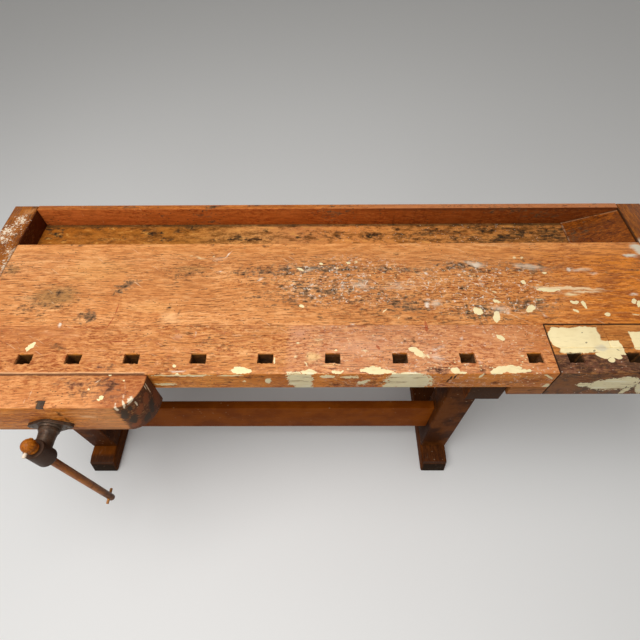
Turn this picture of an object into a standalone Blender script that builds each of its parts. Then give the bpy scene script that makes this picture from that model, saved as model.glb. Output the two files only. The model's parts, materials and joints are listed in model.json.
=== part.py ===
"""Carpenter's workbench: a slab top with a tool tray, a front vise, a tail vise and a trestle base.

All sizes are in metres. Lengths are first counted from the bench's own corner: x from the outer
face of the left end cap, y from the front edge of the top, z from the floor. The function place()
then moves them so that the origin lies under the middle of the whole bench.
"""

import math

import bmesh
import bpy
from mathutils import Matrix, Vector

# Fits
SEAT = 0.0003  # gap between two pieces that touch
GLIDE = 0.0005  # gap between wood that slides on wood
SCREW_FIT = 0.0005  # radial gap of a vise screw in its nut, jaw and flange
ROD_FIT = 0.0004  # radial gap of a guide rod in its bores
EYE_FIT = 0.0008  # radial gap of a handle in the eye of its hub
PIN_FIT = 0.0003  # radial gap of a pin, dowel or bolt in its hole

# Bench top
BENCH_HEIGHT = 0.785
TOP_LENGTH = 1.945
TOP_DEPTH = 0.595
TOP_THICKNESS = 0.070
END_CAP_WIDTH = 0.075
END_CAP_HEIGHT = 0.110
RAIL_WIDTH = 0.138
TONGUE_LENGTH = 0.018
TONGUE_THICKNESS = 0.020
CHEEK_HEIGHT = 0.110
CHEEK_LENGTH = 0.090

# Dog holes. The three steps at the left are uneven, and the steps fill the rail in proportion.
DOG_HOLE_LENGTH = 0.036
DOG_HOLE_WIDTH = 0.027
DOG_LINE_Y = 0.0425
DOG_STEPS = (0.1180, 0.1395, 0.1596, 0.1604, 0.1604, 0.1604, 0.1604, 0.1604)
FIRST_DOG_INSET = 0.1709  # from the left cap to the first hole's middle
LAST_DOG_INSET = 0.0460  # from the last hole's middle to the rail's end
TAIL_DOG_INSET = 0.0490  # from the tail vise's jaw to its first hole's middle
TAIL_DOG_PITCH = 0.1405
TAIL_DOG_HOLES = 3

# Tool tray
TRAY_WIDTH = 0.150
TRAY_DEPTH = 0.064
TRAY_FLOOR_THICKNESS = 0.012
TRAY_GROOVE = 0.008
BACK_RAIL_THICKNESS = 0.020
BACK_RAIL_HEIGHT = 0.085
RAMP_LENGTH = 0.151
RAMP_RISE = 0.056
RAMP_THICKNESS = 0.020
RAMP_TOE = 0.004

# Trestles
TRESTLE_WIDTH = 0.092
LEFT_TRESTLE_X = 0.0885
FOOT_HEIGHT = 0.063
FOOT_SETBACK = 0.004
TOE_LEAN = 0.015
TOE_BEVEL = 0.026
TOE_BEVEL_DROP = 0.006
BEARER_HEIGHT = 0.085
BEARER_SETBACK = 0.007
LEG_DEPTH = 0.085
LEG_SETBACK = 0.081
TENON_THICKNESS = 0.032
TENON_SHOULDER = 0.012
FOOT_TENON = 0.045
BEARER_TENON = 0.055
STRETCHER_THICKNESS = 0.027
STRETCHER_HEIGHT = 0.156
STRETCHER_BOTTOM = 0.187
STRETCHER_TENON = 0.010
STRETCHER_SHOULDER = 0.005

# Bolts, nuts and locating pins
BOLT_RADIUS = 0.005
BOLT_HEAD = 0.018
BOLT_HEAD_THICKNESS = 0.007
BOLT_END = 0.006
NUT_SIZE = 0.017
NUT_THICKNESS = 0.008
NUT_POCKET_LENGTH = 0.018
NUT_POCKET_PLAY = 0.0015
STRETCHER_NUT_INSET = 0.050
POCKET_WALL = 0.005
CAP_NUT_INSET = 0.060
CAP_BOLT_MARGIN = 0.068  # from the slab's front and back edges
CAP_BOLT_DROP = 0.035
COUNTERBORE_RADIUS = 0.014
COUNTERBORE_DEPTH = 0.012
LOCATING_PIN_RADIUS = 0.010
LOCATING_PIN_LENGTH = 0.044

# Vise screws, the same in both vises. Distances along a screw count outwards from its jaw's face.
SCREW_RADIUS = 0.014
SCREW_TIP = 0.006
GARTER_THICKNESS = 0.012
GARTER_WIDTH = 0.0165
GARTER_HEAD = 0.008
GARTER_DEPTH = 0.012  # below the screw's axis
GARTER_START = 0.0058
GROOVE_RADIUS = 0.009
COLLAR_RADIUS = 0.0235
COLLAR_WIDTH = 0.0065
NECK_RADIUS = 0.0195
HUB_RADIUS = 0.023
HUB_HEIGHT = 0.062
HUB_REACH = 0.0712
HUB_EDGE = 0.002
FLANGE_THICKNESS = 0.008
BOSS_RADIUS = 0.0255
BOSS_HEIGHT = 0.005
NUT_PLATE_THICKNESS = 0.006
VISE_NUT_RADIUS = 0.0185
VISE_NUT_LENGTH = 0.040

# Vise handles
HANDLE_RADIUS = 0.0095
HANDLE_DROP = 0.415  # from the screw's axis down to the handle's lower end
KNOB_RADIUS = 0.0160
KNOB_COLLAR_RADIUS = 0.0135
KNOB_COLLAR_HEIGHT = 0.003
KNOB_COVE_RADIUS = 0.0115
KNOB_CENTRE = 0.019  # above the top of the hub
HANDLE_PIN_RADIUS = 0.004
HANDLE_PIN_LENGTH = 0.045
UPPER_PIN_SHIFT = 0.005  # outwards from the knob's middle
HANDLE_PIN_RISE = 0.021  # of the lower pin above the handle's end

# Front vise
JAW_LENGTH = 0.550
JAW_THICKNESS = 0.0835
JAW_HEIGHT = 0.128
JAW_CORNER_X = 0.062
JAW_CORNER_Y = 0.074
FRONT_SCREW_X = 0.312
FRONT_SCREW_DROP = 0.090  # below the bench top's upper face
FRONT_SCREW_REACH = 0.280  # behind the front edge
GUIDE_ROD_RADIUS = 0.011
GUIDE_ROD_INSET = 0.0212  # from the trestle's side to the left rod's axis
GUIDE_ROD_BACK_GAP = 0.005  # from the rods' ends to the slab's back edge
GUIDE_ROD_SEAT = 0.060
FRONT_BLOCK_THICKNESS = 0.060
FRONT_BLOCK_OVERHANG = 0.050  # past the right rod's axis
GUIDE_BEAM_SETBACK = 0.235  # from the slab's back edge
GUIDE_BEAM_THICKNESS = 0.040
GUIDE_BEAM_HEIGHT = 0.056
FRONT_NUT_PLATE = (0.080, 0.036)
WING_SPREAD = 0.044
WING_RADIUS = 0.010
WING_CENTRE_RADIUS = 0.031

# Tail vise
TAIL_OPENING = 0.434  # from the rail's end to the outer face of the right cap
TAIL_RAIL_WIDTH = 0.070
TAIL_HEIGHT = 0.110
TAIL_BLOCK_LENGTH = 0.144
TAIL_COVER_THICKNESS = 0.025
TAIL_END_GAP = 0.005
TAIL_END_THICKNESS = 0.060
TAIL_SCREW_DROP = 0.073
TAIL_SCREW_TIP_GAP = 0.0095  # from the jaw block to the screw's tip
TAIL_GUIDE_DEPTH = 0.020
TAIL_GUIDE_HEIGHT = 0.022
TAIL_GUIDE_DROP = 0.038
TAIL_NUT_PLATE = (0.052, 0.044)
TAIL_FLANGE_RADIUS = 0.032
TAIL_FINGER_HEIGHT = 0.028
TAIL_FINGER_EDGE = 0.014

# Edges
BOARD_EDGE = 0.0012
BASE_EDGE = 0.0030
FOOT_EDGE = 0.0050
JAW_EDGE = 0.0020
IRON_EDGE = 0.0010

# Numbers of sides
ROUND_SIDES = 32
BORE_SIDES = 24
SMALL_SIDES = 16

# Places that follow from the sizes
SLAB_BOTTOM = BENCH_HEIGHT - TOP_THICKNESS
SLAB_FRONT = RAIL_WIDTH + SEAT
SLAB_BACK = TOP_DEPTH - BACK_RAIL_THICKNESS - TRAY_WIDTH
LEFT_CAP_X = END_CAP_WIDTH
RIGHT_CAP_X = TOP_LENGTH - END_CAP_WIDTH
BENCH_JAW_X = TOP_LENGTH - TAIL_OPENING
CHEEK_X = BENCH_JAW_X - CHEEK_LENGTH
BACK_RAIL_Y = TOP_DEPTH - BACK_RAIL_THICKNESS
TRAY_TOP = BENCH_HEIGHT - TRAY_DEPTH
TRAY_BOTTOM = TRAY_TOP - TRAY_FLOOR_THICKNESS
RIGHT_TRESTLE_X = CHEEK_X - SEAT - TRESTLE_WIDTH
BEARER_TOP = SLAB_BOTTOM - SEAT
BEARER_BOTTOM = BEARER_TOP - BEARER_HEIGHT
LEG_BOTTOM = FOOT_HEIGHT + SEAT
LEG_TOP = BEARER_BOTTOM - SEAT
BASE_MIDDLE_Y = TOP_DEPTH / 2
STRETCHER_TOP = STRETCHER_BOTTOM + STRETCHER_HEIGHT
STRETCHER_MIDDLE_Z = STRETCHER_BOTTOM + STRETCHER_HEIGHT / 2
CAP_BOLT_Y = (SLAB_FRONT + CAP_BOLT_MARGIN, SLAB_BACK - CAP_BOLT_MARGIN)
CAP_BOLT_Z = BENCH_HEIGHT - CAP_BOLT_DROP
TONGUE_Z = (CAP_BOLT_Z - TONGUE_THICKNESS / 2, CAP_BOLT_Z + TONGUE_THICKNESS / 2)
FRONT_BLOCK_X = LEFT_TRESTLE_X + TRESTLE_WIDTH + SEAT
LEFT_ROD_X = FRONT_BLOCK_X + GUIDE_ROD_INSET
RIGHT_ROD_X = 2 * FRONT_SCREW_X - LEFT_ROD_X
FRONT_BLOCK_END_X = RIGHT_ROD_X + FRONT_BLOCK_OVERHANG
GUIDE_ROD_END = SLAB_BACK - GUIDE_ROD_BACK_GAP
GUIDE_BEAM_Y = SLAB_BACK - GUIDE_BEAM_SETBACK
JAW_BACK = -SEAT
JAW_FACE = JAW_BACK - JAW_THICKNESS
JAW_BOTTOM = BENCH_HEIGHT - JAW_HEIGHT
FRONT_SCREW_Z = BENCH_HEIGHT - FRONT_SCREW_DROP
TAIL_X = BENCH_JAW_X + GLIDE
TAIL_BOTTOM = BENCH_HEIGHT - TAIL_HEIGHT
TAIL_END_X = TOP_LENGTH + TAIL_END_GAP
TAIL_FACE = TAIL_END_X + TAIL_END_THICKNESS
TAIL_COVER_BOTTOM = BENCH_HEIGHT - TAIL_COVER_THICKNESS
TAIL_SCREW_Y = (TAIL_RAIL_WIDTH + RAIL_WIDTH) / 2
TAIL_SCREW_Z = BENCH_HEIGHT - TAIL_SCREW_DROP
TAIL_BLOCK_END_X = TAIL_X + TAIL_BLOCK_LENGTH
TAIL_SCREW_TIP_X = TAIL_BLOCK_END_X + TAIL_SCREW_TIP_GAP

# The whole bench's extents, whose middle is the origin
SCREW_REACH = HUB_REACH + max(HUB_RADIUS, HANDLE_PIN_LENGTH / 2 + UPPER_PIN_SHIFT)
WHOLE_LENGTH = TAIL_FACE + SCREW_REACH
WHOLE_FRONT = JAW_FACE - SCREW_REACH
ORIGIN = Vector((WHOLE_LENGTH / 2, (WHOLE_FRONT + TOP_DEPTH) / 2, 0))

UP = Vector((0, 0, 1))
RIGHT = Vector((1, 0, 0))
FORWARD = Vector((0, -1, 0))

for leftover in list(bpy.data.objects):
    bpy.data.objects.remove(leftover)

bench = bpy.data.collections.new("carpenters_workbench")
cutters = bpy.data.collections.new("cutters")
for collection in (bench, cutters):
    bpy.context.scene.collection.children.link(collection)

FINISHES = {
    "top_wood": ((0.50, 0.23, 0.09), 0.55, 0.0),
    "tray_wood": ((0.30, 0.13, 0.05), 0.65, 0.0),
    "base_wood": ((0.19, 0.08, 0.035), 0.60, 0.0),
    "vise_wood": ((0.48, 0.21, 0.08), 0.55, 0.0),
    "handle_wood": ((0.45, 0.17, 0.05), 0.45, 0.0),
    "iron": ((0.07, 0.055, 0.05), 0.50, 0.9),
    "bolt_steel": ((0.16, 0.14, 0.13), 0.45, 0.9),
}
materials = {}
for finish, (colour, roughness, metallic) in FINISHES.items():
    material = bpy.data.materials.new(finish)
    material.use_nodes = True
    shader = material.node_tree.nodes["Principled BSDF"]
    shader.inputs["Base Color"].default_value = (*colour, 1)
    shader.inputs["Roughness"].default_value = roughness
    shader.inputs["Metallic"].default_value = metallic
    materials[finish] = material


def place(point):
    """A point of the bench's own corner, counted from the origin."""
    return Vector(point) - ORIGIN


def turn_to(direction):
    """The rotation that stands a local z axis along a direction."""
    return Vector(direction).to_track_quat("Z", "Y").to_matrix().to_4x4()


def add_object(name, mesh, matrix, finish, home):
    item = bpy.data.objects.new(name, mesh)
    item.matrix_world = matrix
    if finish:
        mesh.materials.append(materials[finish])
    home.objects.link(item)
    if home is cutters:
        item.hide_render = True
        item.display_type = "WIRE"
    return item


def add_bevel(item, width, segments=1):
    bevel = item.modifiers.new("edges", "BEVEL")
    bevel.width = width
    bevel.segments = segments
    bevel.limit_method = "ANGLE"
    bevel.angle_limit = math.radians(40)
    return bevel


def box(name, x, y, z, finish, edge=0.0, home=bench):
    """A board between two x, two y and two z values."""
    low = Vector((x[0], y[0], z[0]))
    high = Vector((x[1], y[1], z[1]))
    shape = bmesh.new()
    bmesh.ops.create_cube(shape, size=1, matrix=Matrix.Diagonal((*(high - low), 1)))
    mesh = bpy.data.meshes.new(name)
    shape.to_mesh(mesh)
    shape.free()
    item = add_object(name, mesh, Matrix.Translation(place((low + high) / 2)), finish, home)
    if edge:
        add_bevel(item, edge)
    return item


def rod(name, start, end, radius, finish, sides=ROUND_SIDES, home=bench):
    """A round bar between two points."""
    start, end = Vector(start), Vector(end)
    shape = bmesh.new()
    bmesh.ops.create_cone(
        shape,
        cap_ends=True,
        segments=sides,
        radius1=radius,
        radius2=radius,
        depth=(end - start).length,
    )
    mesh = bpy.data.meshes.new(name)
    shape.to_mesh(mesh)
    shape.free()
    matrix = Matrix.Translation(place((start + end) / 2)) @ turn_to(end - start)
    item = add_object(name, mesh, matrix, finish, home)
    smooth(mesh)
    return item


def smooth(mesh):
    mesh.shade_smooth()
    mesh.set_sharp_from_angle(angle=math.radians(35))


def turned(name, profile, base, axis, finish, sides=ROUND_SIDES):
    """A turned piece. Its profile runs down its outer side as (radius, distance along the axis)."""
    mesh = bpy.data.meshes.new(name)
    points = [(radius, 0, distance) for radius, distance in profile]
    mesh.from_pydata(points, [(i, i + 1) for i in range(len(points) - 1)], [])
    item = add_object(name, mesh, Matrix.Translation(place(base)) @ turn_to(axis), finish, bench)
    spin = item.modifiers.new("turning", "SCREW")
    spin.steps = sides
    spin.render_steps = sides
    spin.use_merge_vertices = True
    spin.merge_threshold = 0.00001
    spin.use_smooth_shade = True
    return item


def outlined(name, points, middle, thickness, across, rise, finish, home=bench):
    """A flat outline of (across, rise) points, given a thickness square to both directions."""
    curve = bpy.data.curves.new(name, "CURVE")
    curve.dimensions = "2D"
    curve.fill_mode = "BOTH"
    curve.extrude = thickness / 2
    spline = curve.splines.new("POLY")
    spline.points.add(len(points) - 1)
    for point, (u, v) in zip(spline.points, points):
        point.co = (u, v, 0, 1)
    spline.use_cyclic_u = True
    across, rise = Vector(across), Vector(rise)
    axes = Matrix((across, rise, across.cross(rise))).transposed().to_4x4()
    drawing = add_object(name, curve, Matrix.Translation(place(middle)) @ axes, None, bench)
    bpy.context.view_layer.update()
    graph = bpy.context.evaluated_depsgraph_get()
    mesh = bpy.data.meshes.new_from_object(drawing.evaluated_get(graph))
    matrix = drawing.matrix_world.copy()
    bpy.data.objects.remove(drawing)
    shape = bmesh.new()
    shape.from_mesh(mesh)
    bmesh.ops.remove_doubles(shape, verts=shape.verts, dist=0.000001)
    bmesh.ops.recalc_face_normals(shape, faces=shape.faces)
    shape.to_mesh(mesh)
    shape.free()
    mesh.materials.clear()
    return add_object(name, mesh, matrix, finish, home)


def combine(item, tool, operation):
    step = item.modifiers.new(operation.lower(), "BOOLEAN")
    step.operation = operation
    step.object = tool


def cut(item, tool):
    combine(item, tool, "DIFFERENCE")


def join(item, tool):
    combine(item, tool, "UNION")


def cut_box(item, x, y, z):
    cut(item, box(item.name + "_cut", x, y, z, None, home=cutters))


def cut_bore(item, start, end, radius, sides=BORE_SIDES):
    cut(item, rod(item.name + "_bore", start, end, radius, None, sides, cutters))


def around(middle, size, play=0.0):
    """The two values that lie half a size, and a play, on either side of a middle."""
    return (middle - size / 2 - play, middle + size / 2 + play)


def mirrored(y, about=BASE_MIDDLE_Y):
    """A pair of y values mirrored front to back."""
    return (2 * about - y[1], 2 * about - y[0])


def add_pivot(name, point, parent=None):
    """An empty on a joint's axis, which carries the pieces that move with the joint."""
    pivot = bpy.data.objects.new(name, None)
    pivot.empty_display_size = 0.05
    pivot.location = place(point)
    bench.objects.link(pivot)
    if parent:
        carry(parent, pivot)
    return pivot


def carry(pivot, *items):
    for item in items:
        item.parent = pivot
        item.matrix_parent_inverse = Matrix.Translation(-pivot.location)


def dog_hole_places():
    """The x of each dog hole: those in the bench's rail, and those in the tail vise."""
    first = LEFT_CAP_X + FIRST_DOG_INSET
    last = BENCH_JAW_X - LAST_DOG_INSET
    stretch = (last - first) / sum(DOG_STEPS)
    steps = range(len(DOG_STEPS) + 1)
    bench_places = [first + stretch * sum(DOG_STEPS[:step]) for step in steps]
    first_tail = TAIL_X + TAIL_DOG_INSET
    tail_places = [first_tail + step * TAIL_DOG_PITCH for step in range(TAIL_DOG_HOLES)]
    return bench_places, tail_places


def cut_dog_holes(item, places, bottom):
    for x in places:
        cut_box(
            item,
            around(x, DOG_HOLE_LENGTH),
            around(DOG_LINE_Y, DOG_HOLE_WIDTH),
            (bottom - 0.01, BENCH_HEIGHT + 0.01),
        )


def bolt(name, head_face, direction, length, finish="bolt_steel"):
    """A square-headed bolt. Its head bears on a face, and its shank runs along a direction."""
    head_face, direction = Vector(head_face), Vector(direction)
    outside = head_face - direction * (BOLT_HEAD_THICKNESS + SEAT)
    inside = head_face - direction * SEAT
    side = Vector((0, 1, 0))
    half = Vector((0, BOLT_HEAD / 2, BOLT_HEAD / 2))
    low, high = outside - half, inside + half
    spans = [sorted((low[i], high[i])) for i in range(3)]
    item = box(name, *spans, finish, IRON_EDGE)
    shank = rod(
        name + "_shank",
        head_face - direction * BOLT_HEAD_THICKNESS / 2,
        head_face + direction * length,
        BOLT_RADIUS,
        None,
        SMALL_SIDES,
        cutters,
    )
    join(item, shank)
    return item


def square_nut(name, x, y, z):
    """A square nut on a bolt that runs along x. Its middle is given."""
    item = box(
        name,
        around(x, NUT_THICKNESS),
        around(y, NUT_SIZE),
        around(z, NUT_SIZE),
        "bolt_steel",
    )
    reach = NUT_THICKNESS
    cut_bore(item, (x - reach, y, z), (x + reach, y, z), BOLT_RADIUS + PIN_FIT, SMALL_SIDES)
    return item


def make_top():
    """The slab, the dog-hole rail and the cheek block under the rail's right end."""
    bench_dogs, _ = dog_hole_places()
    inner = (LEFT_CAP_X + SEAT, RIGHT_CAP_X - SEAT)
    slab = box(
        "top_slab",
        inner,
        (SLAB_FRONT, SLAB_BACK),
        (SLAB_BOTTOM, BENCH_HEIGHT),
        "top_wood",
        BOARD_EDGE,
    )
    tongue_y = (SLAB_FRONT + 0.02, SLAB_BACK - 0.02)
    slab_tongue = box(
        "slab_tongue",
        (inner[0] - TONGUE_LENGTH, inner[1] + TONGUE_LENGTH),
        tongue_y,
        TONGUE_Z,
        None,
        home=cutters,
    )
    join(slab, slab_tongue)
    cut_box(
        slab,
        (inner[0] - 0.05, inner[1] + 0.05),
        (SLAB_BACK - TRAY_GROOVE - SEAT, SLAB_BACK + 0.01),
        (SLAB_BOTTOM - 0.01, TRAY_TOP + SEAT),
    )
    rail = box(
        "dog_hole_rail",
        (inner[0], BENCH_JAW_X),
        (0, RAIL_WIDTH),
        (SLAB_BOTTOM, BENCH_HEIGHT),
        "top_wood",
        BOARD_EDGE,
    )
    rail_tongue = box(
        "rail_tongue",
        (inner[0] - TONGUE_LENGTH, inner[0] + 0.02),
        (0.02, RAIL_WIDTH - 0.02),
        TONGUE_Z,
        None,
        home=cutters,
    )
    join(rail, rail_tongue)
    cut_dog_holes(rail, bench_dogs, SLAB_BOTTOM)
    cheek = box(
        "tail_cheek_block",
        (CHEEK_X, BENCH_JAW_X),
        (0, RAIL_WIDTH),
        (BENCH_HEIGHT - CHEEK_HEIGHT, SLAB_BOTTOM - SEAT),
        "top_wood",
        BOARD_EDGE,
    )
    cut_dog_holes(cheek, bench_dogs[-1:], BENCH_HEIGHT - CHEEK_HEIGHT)
    return slab, rail, tongue_y


def make_end_caps(tongue_y):
    """The two end caps, grooved for the tongues and the tray's floor."""
    z = (BENCH_HEIGHT - END_CAP_HEIGHT, BENCH_HEIGHT)
    left = box(
        "left_end_cap", (0, LEFT_CAP_X), (0, TOP_DEPTH), z, "top_wood", BASE_EDGE
    )
    right = box(
        "right_end_cap",
        (RIGHT_CAP_X, TOP_LENGTH),
        (TAIL_RAIL_WIDTH + GLIDE, TOP_DEPTH),
        z,
        "top_wood",
        BASE_EDGE,
    )
    cut_box(
        right,
        (RIGHT_CAP_X - 0.01, TOP_LENGTH + 0.01),
        (0, RAIL_WIDTH + GLIDE),
        (TAIL_COVER_BOTTOM - GLIDE, BENCH_HEIGHT + 0.01),
    )
    groove = TONGUE_LENGTH + SEAT
    slot_z = around(CAP_BOLT_Z, TONGUE_THICKNESS, SEAT)
    slab_slot_y = (tongue_y[0] - SEAT, tongue_y[1] + SEAT)
    cut_box(left, (LEFT_CAP_X - groove, LEFT_CAP_X + 0.01), slab_slot_y, slot_z)
    cut_box(right, (RIGHT_CAP_X - 0.01, RIGHT_CAP_X + groove), slab_slot_y, slot_z)
    cut_box(
        left,
        (LEFT_CAP_X - groove, LEFT_CAP_X + 0.01),
        (0.02 - SEAT, RAIL_WIDTH - 0.02 + SEAT),
        slot_z,
    )
    tray_y = (SLAB_BACK - TRAY_GROOVE - SEAT, BACK_RAIL_Y + TRAY_GROOVE + SEAT)
    tray_z = (TRAY_BOTTOM - SEAT, TRAY_TOP + SEAT)
    cut_box(left, (LEFT_CAP_X - TRAY_GROOVE - SEAT, LEFT_CAP_X + 0.01), tray_y, tray_z)
    cut_box(right, (RIGHT_CAP_X - 0.01, RIGHT_CAP_X + TRAY_GROOVE + SEAT), tray_y, tray_z)
    return left, right


def make_cap_bolts(slab, left, right):
    """Bolts that draw the end caps on to the slab, with nuts let in from below."""
    sides = (
        ("left", left, 0, LEFT_CAP_X, 1),
        ("right", right, TOP_LENGTH, RIGHT_CAP_X, -1),
    )
    for side, cap, outer_x, inner_x, way in sides:
        seat_x = outer_x + way * COUNTERBORE_DEPTH
        nut_x = inner_x + way * CAP_NUT_INSET
        end_x = nut_x + way * (NUT_THICKNESS / 2 + BOLT_END)
        for end, y in zip(("front", "rear"), CAP_BOLT_Y):
            name = f"{side}_cap_{end}"
            z = CAP_BOLT_Z
            bolt(name + "_bolt", (seat_x, y, z), (way, 0, 0), abs(end_x - seat_x))
            square_nut(name + "_nut", nut_x, y, z)
            mouth = (outer_x - way * 0.01, y, z)
            cut_bore(cap, mouth, (seat_x, y, z), COUNTERBORE_RADIUS)
            past_cap = (inner_x + way * 0.005, y, z)
            cut_bore(cap, (outer_x, y, z), past_cap, BOLT_RADIUS + PIN_FIT, SMALL_SIDES)
            before_slab = (inner_x - way * 0.03, y, z)
            past_nut = (end_x + way * 0.002, y, z)
            cut_bore(slab, before_slab, past_nut, BOLT_RADIUS + PIN_FIT, SMALL_SIDES)
            cut_box(
                slab,
                around(nut_x, NUT_POCKET_LENGTH),
                around(y, NUT_SIZE, NUT_POCKET_PLAY),
                (SLAB_BOTTOM - 0.01, z + NUT_SIZE / 2 + NUT_POCKET_PLAY),
            )


def make_tray():
    """The tool tray: its floor, its back rail and the ramp at its right end."""
    inner = (LEFT_CAP_X + SEAT, RIGHT_CAP_X - SEAT)
    box(
        "tray_floor",
        (LEFT_CAP_X - TRAY_GROOVE, RIGHT_CAP_X + TRAY_GROOVE),
        (SLAB_BACK - TRAY_GROOVE, BACK_RAIL_Y + TRAY_GROOVE),
        (TRAY_BOTTOM, TRAY_TOP),
        "tray_wood",
    )
    back = box(
        "tray_back_rail",
        inner,
        (BACK_RAIL_Y, TOP_DEPTH),
        (BENCH_HEIGHT - BACK_RAIL_HEIGHT, BENCH_HEIGHT),
        "top_wood",
        BOARD_EDGE,
    )
    cut_box(
        back,
        (inner[0] - 0.01, inner[1] + 0.01),
        (BACK_RAIL_Y - 0.01, BACK_RAIL_Y + TRAY_GROOVE + SEAT),
        (TRAY_BOTTOM - SEAT, TRAY_TOP + SEAT),
    )
    floor_z = TRAY_TOP + SEAT
    high_x = RIGHT_CAP_X - SEAT
    toe_x = high_x - RAMP_LENGTH
    slope = (RAMP_RISE - RAMP_TOE) / RAMP_LENGTH
    under = RAMP_THICKNESS * math.hypot(1, slope)
    foot_x = toe_x + (under - RAMP_TOE) / slope
    outline = (
        (toe_x, floor_z),
        (foot_x, floor_z),
        (high_x, floor_z + RAMP_RISE - under),
        (high_x, floor_z + RAMP_RISE),
        (toe_x, floor_z + RAMP_TOE),
    )
    middle_y = (SLAB_BACK + BACK_RAIL_Y) / 2
    outlined(
        "tray_ramp",
        [(x, z) for x, z in outline],
        (0, middle_y, 0),
        TRAY_WIDTH - 2 * SEAT,
        (1, 0, 0),
        (0, 0, 1),
        "tray_wood",
    )


def foot_outline():
    """A foot from the side, as (y, z): its toes lean back and their upper edges slope."""
    front = [
        (FOOT_SETBACK, 0),
        (FOOT_SETBACK + TOE_LEAN, FOOT_HEIGHT - TOE_BEVEL_DROP),
        (FOOT_SETBACK + TOE_LEAN + TOE_BEVEL, FOOT_HEIGHT),
    ]
    back = [(2 * BASE_MIDDLE_Y - y, z) for y, z in reversed(front)]
    return front + back


def make_trestle(side, x0, slab):
    """One trestle: foot, two legs and a bearer, which a pin locates under the slab."""
    x = (x0, x0 + TRESTLE_WIDTH)
    middle_x = x0 + TRESTLE_WIDTH / 2
    foot = outlined(
        f"{side}_foot",
        foot_outline(),
        (middle_x, 0, 0),
        TRESTLE_WIDTH,
        (0, 1, 0),
        (0, 0, 1),
        "base_wood",
    )
    add_bevel(foot, FOOT_EDGE)
    bearer = box(
        f"{side}_bearer",
        x,
        (BEARER_SETBACK, TOP_DEPTH - BEARER_SETBACK),
        (BEARER_BOTTOM, BEARER_TOP),
        "base_wood",
        BASE_EDGE,
    )
    cut_box(
        bearer,
        (x[0] - 0.01, x[1] + 0.01),
        (SLAB_BACK - TRAY_GROOVE - GLIDE, TOP_DEPTH),
        (TRAY_BOTTOM - SEAT, BEARER_TOP + 0.01),
    )
    cut_box(
        bearer,
        (x[0] - 0.01, x[1] + 0.01),
        (BACK_RAIL_Y - GLIDE, TOP_DEPTH),
        (BENCH_HEIGHT - BACK_RAIL_HEIGHT - SEAT, BEARER_TOP + 0.01),
    )
    front_y = (LEG_SETBACK, LEG_SETBACK + LEG_DEPTH)
    for end, y in (("front", front_y), ("rear", mirrored(front_y))):
        make_leg(f"{side}_{end}_leg", x, y, foot, bearer)
    pin_x, pin_y, pin_z = middle_x, BASE_MIDDLE_Y, BEARER_TOP
    half = LOCATING_PIN_LENGTH / 2
    ends = ((pin_x, pin_y, pin_z - half), (pin_x, pin_y, pin_z + half))
    rod(f"{side}_locating_pin", *ends, LOCATING_PIN_RADIUS, "base_wood", SMALL_SIDES)
    hole = LOCATING_PIN_RADIUS + PIN_FIT
    hole_ends = ((pin_x, pin_y, pin_z - half - SEAT), (pin_x, pin_y, pin_z + half + SEAT))
    cut_bore(bearer, *hole_ends, hole, SMALL_SIDES)
    cut_bore(slab, *hole_ends, hole, SMALL_SIDES)


def make_leg(name, x, y, foot, bearer):
    """A leg with a tenon into the foot and one into the bearer."""
    leg = box(name, x, y, (LEG_BOTTOM, LEG_TOP), "base_wood", BASE_EDGE)
    tenon_x = around((x[0] + x[1]) / 2, TENON_THICKNESS)
    tenon_y = (y[0] + TENON_SHOULDER, y[1] - TENON_SHOULDER)
    low, high = LEG_BOTTOM - FOOT_TENON, LEG_TOP + BEARER_TENON
    join(leg, box(name + "_tenon", tenon_x, tenon_y, (low, high), None, home=cutters))
    hole_x = (tenon_x[0] - SEAT, tenon_x[1] + SEAT)
    hole_y = (tenon_y[0] - SEAT, tenon_y[1] + SEAT)
    cut_box(foot, hole_x, hole_y, (low - SEAT, FOOT_HEIGHT + 0.01))
    cut_box(bearer, hole_x, hole_y, (BEARER_BOTTOM - 0.01, high + SEAT))


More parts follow.
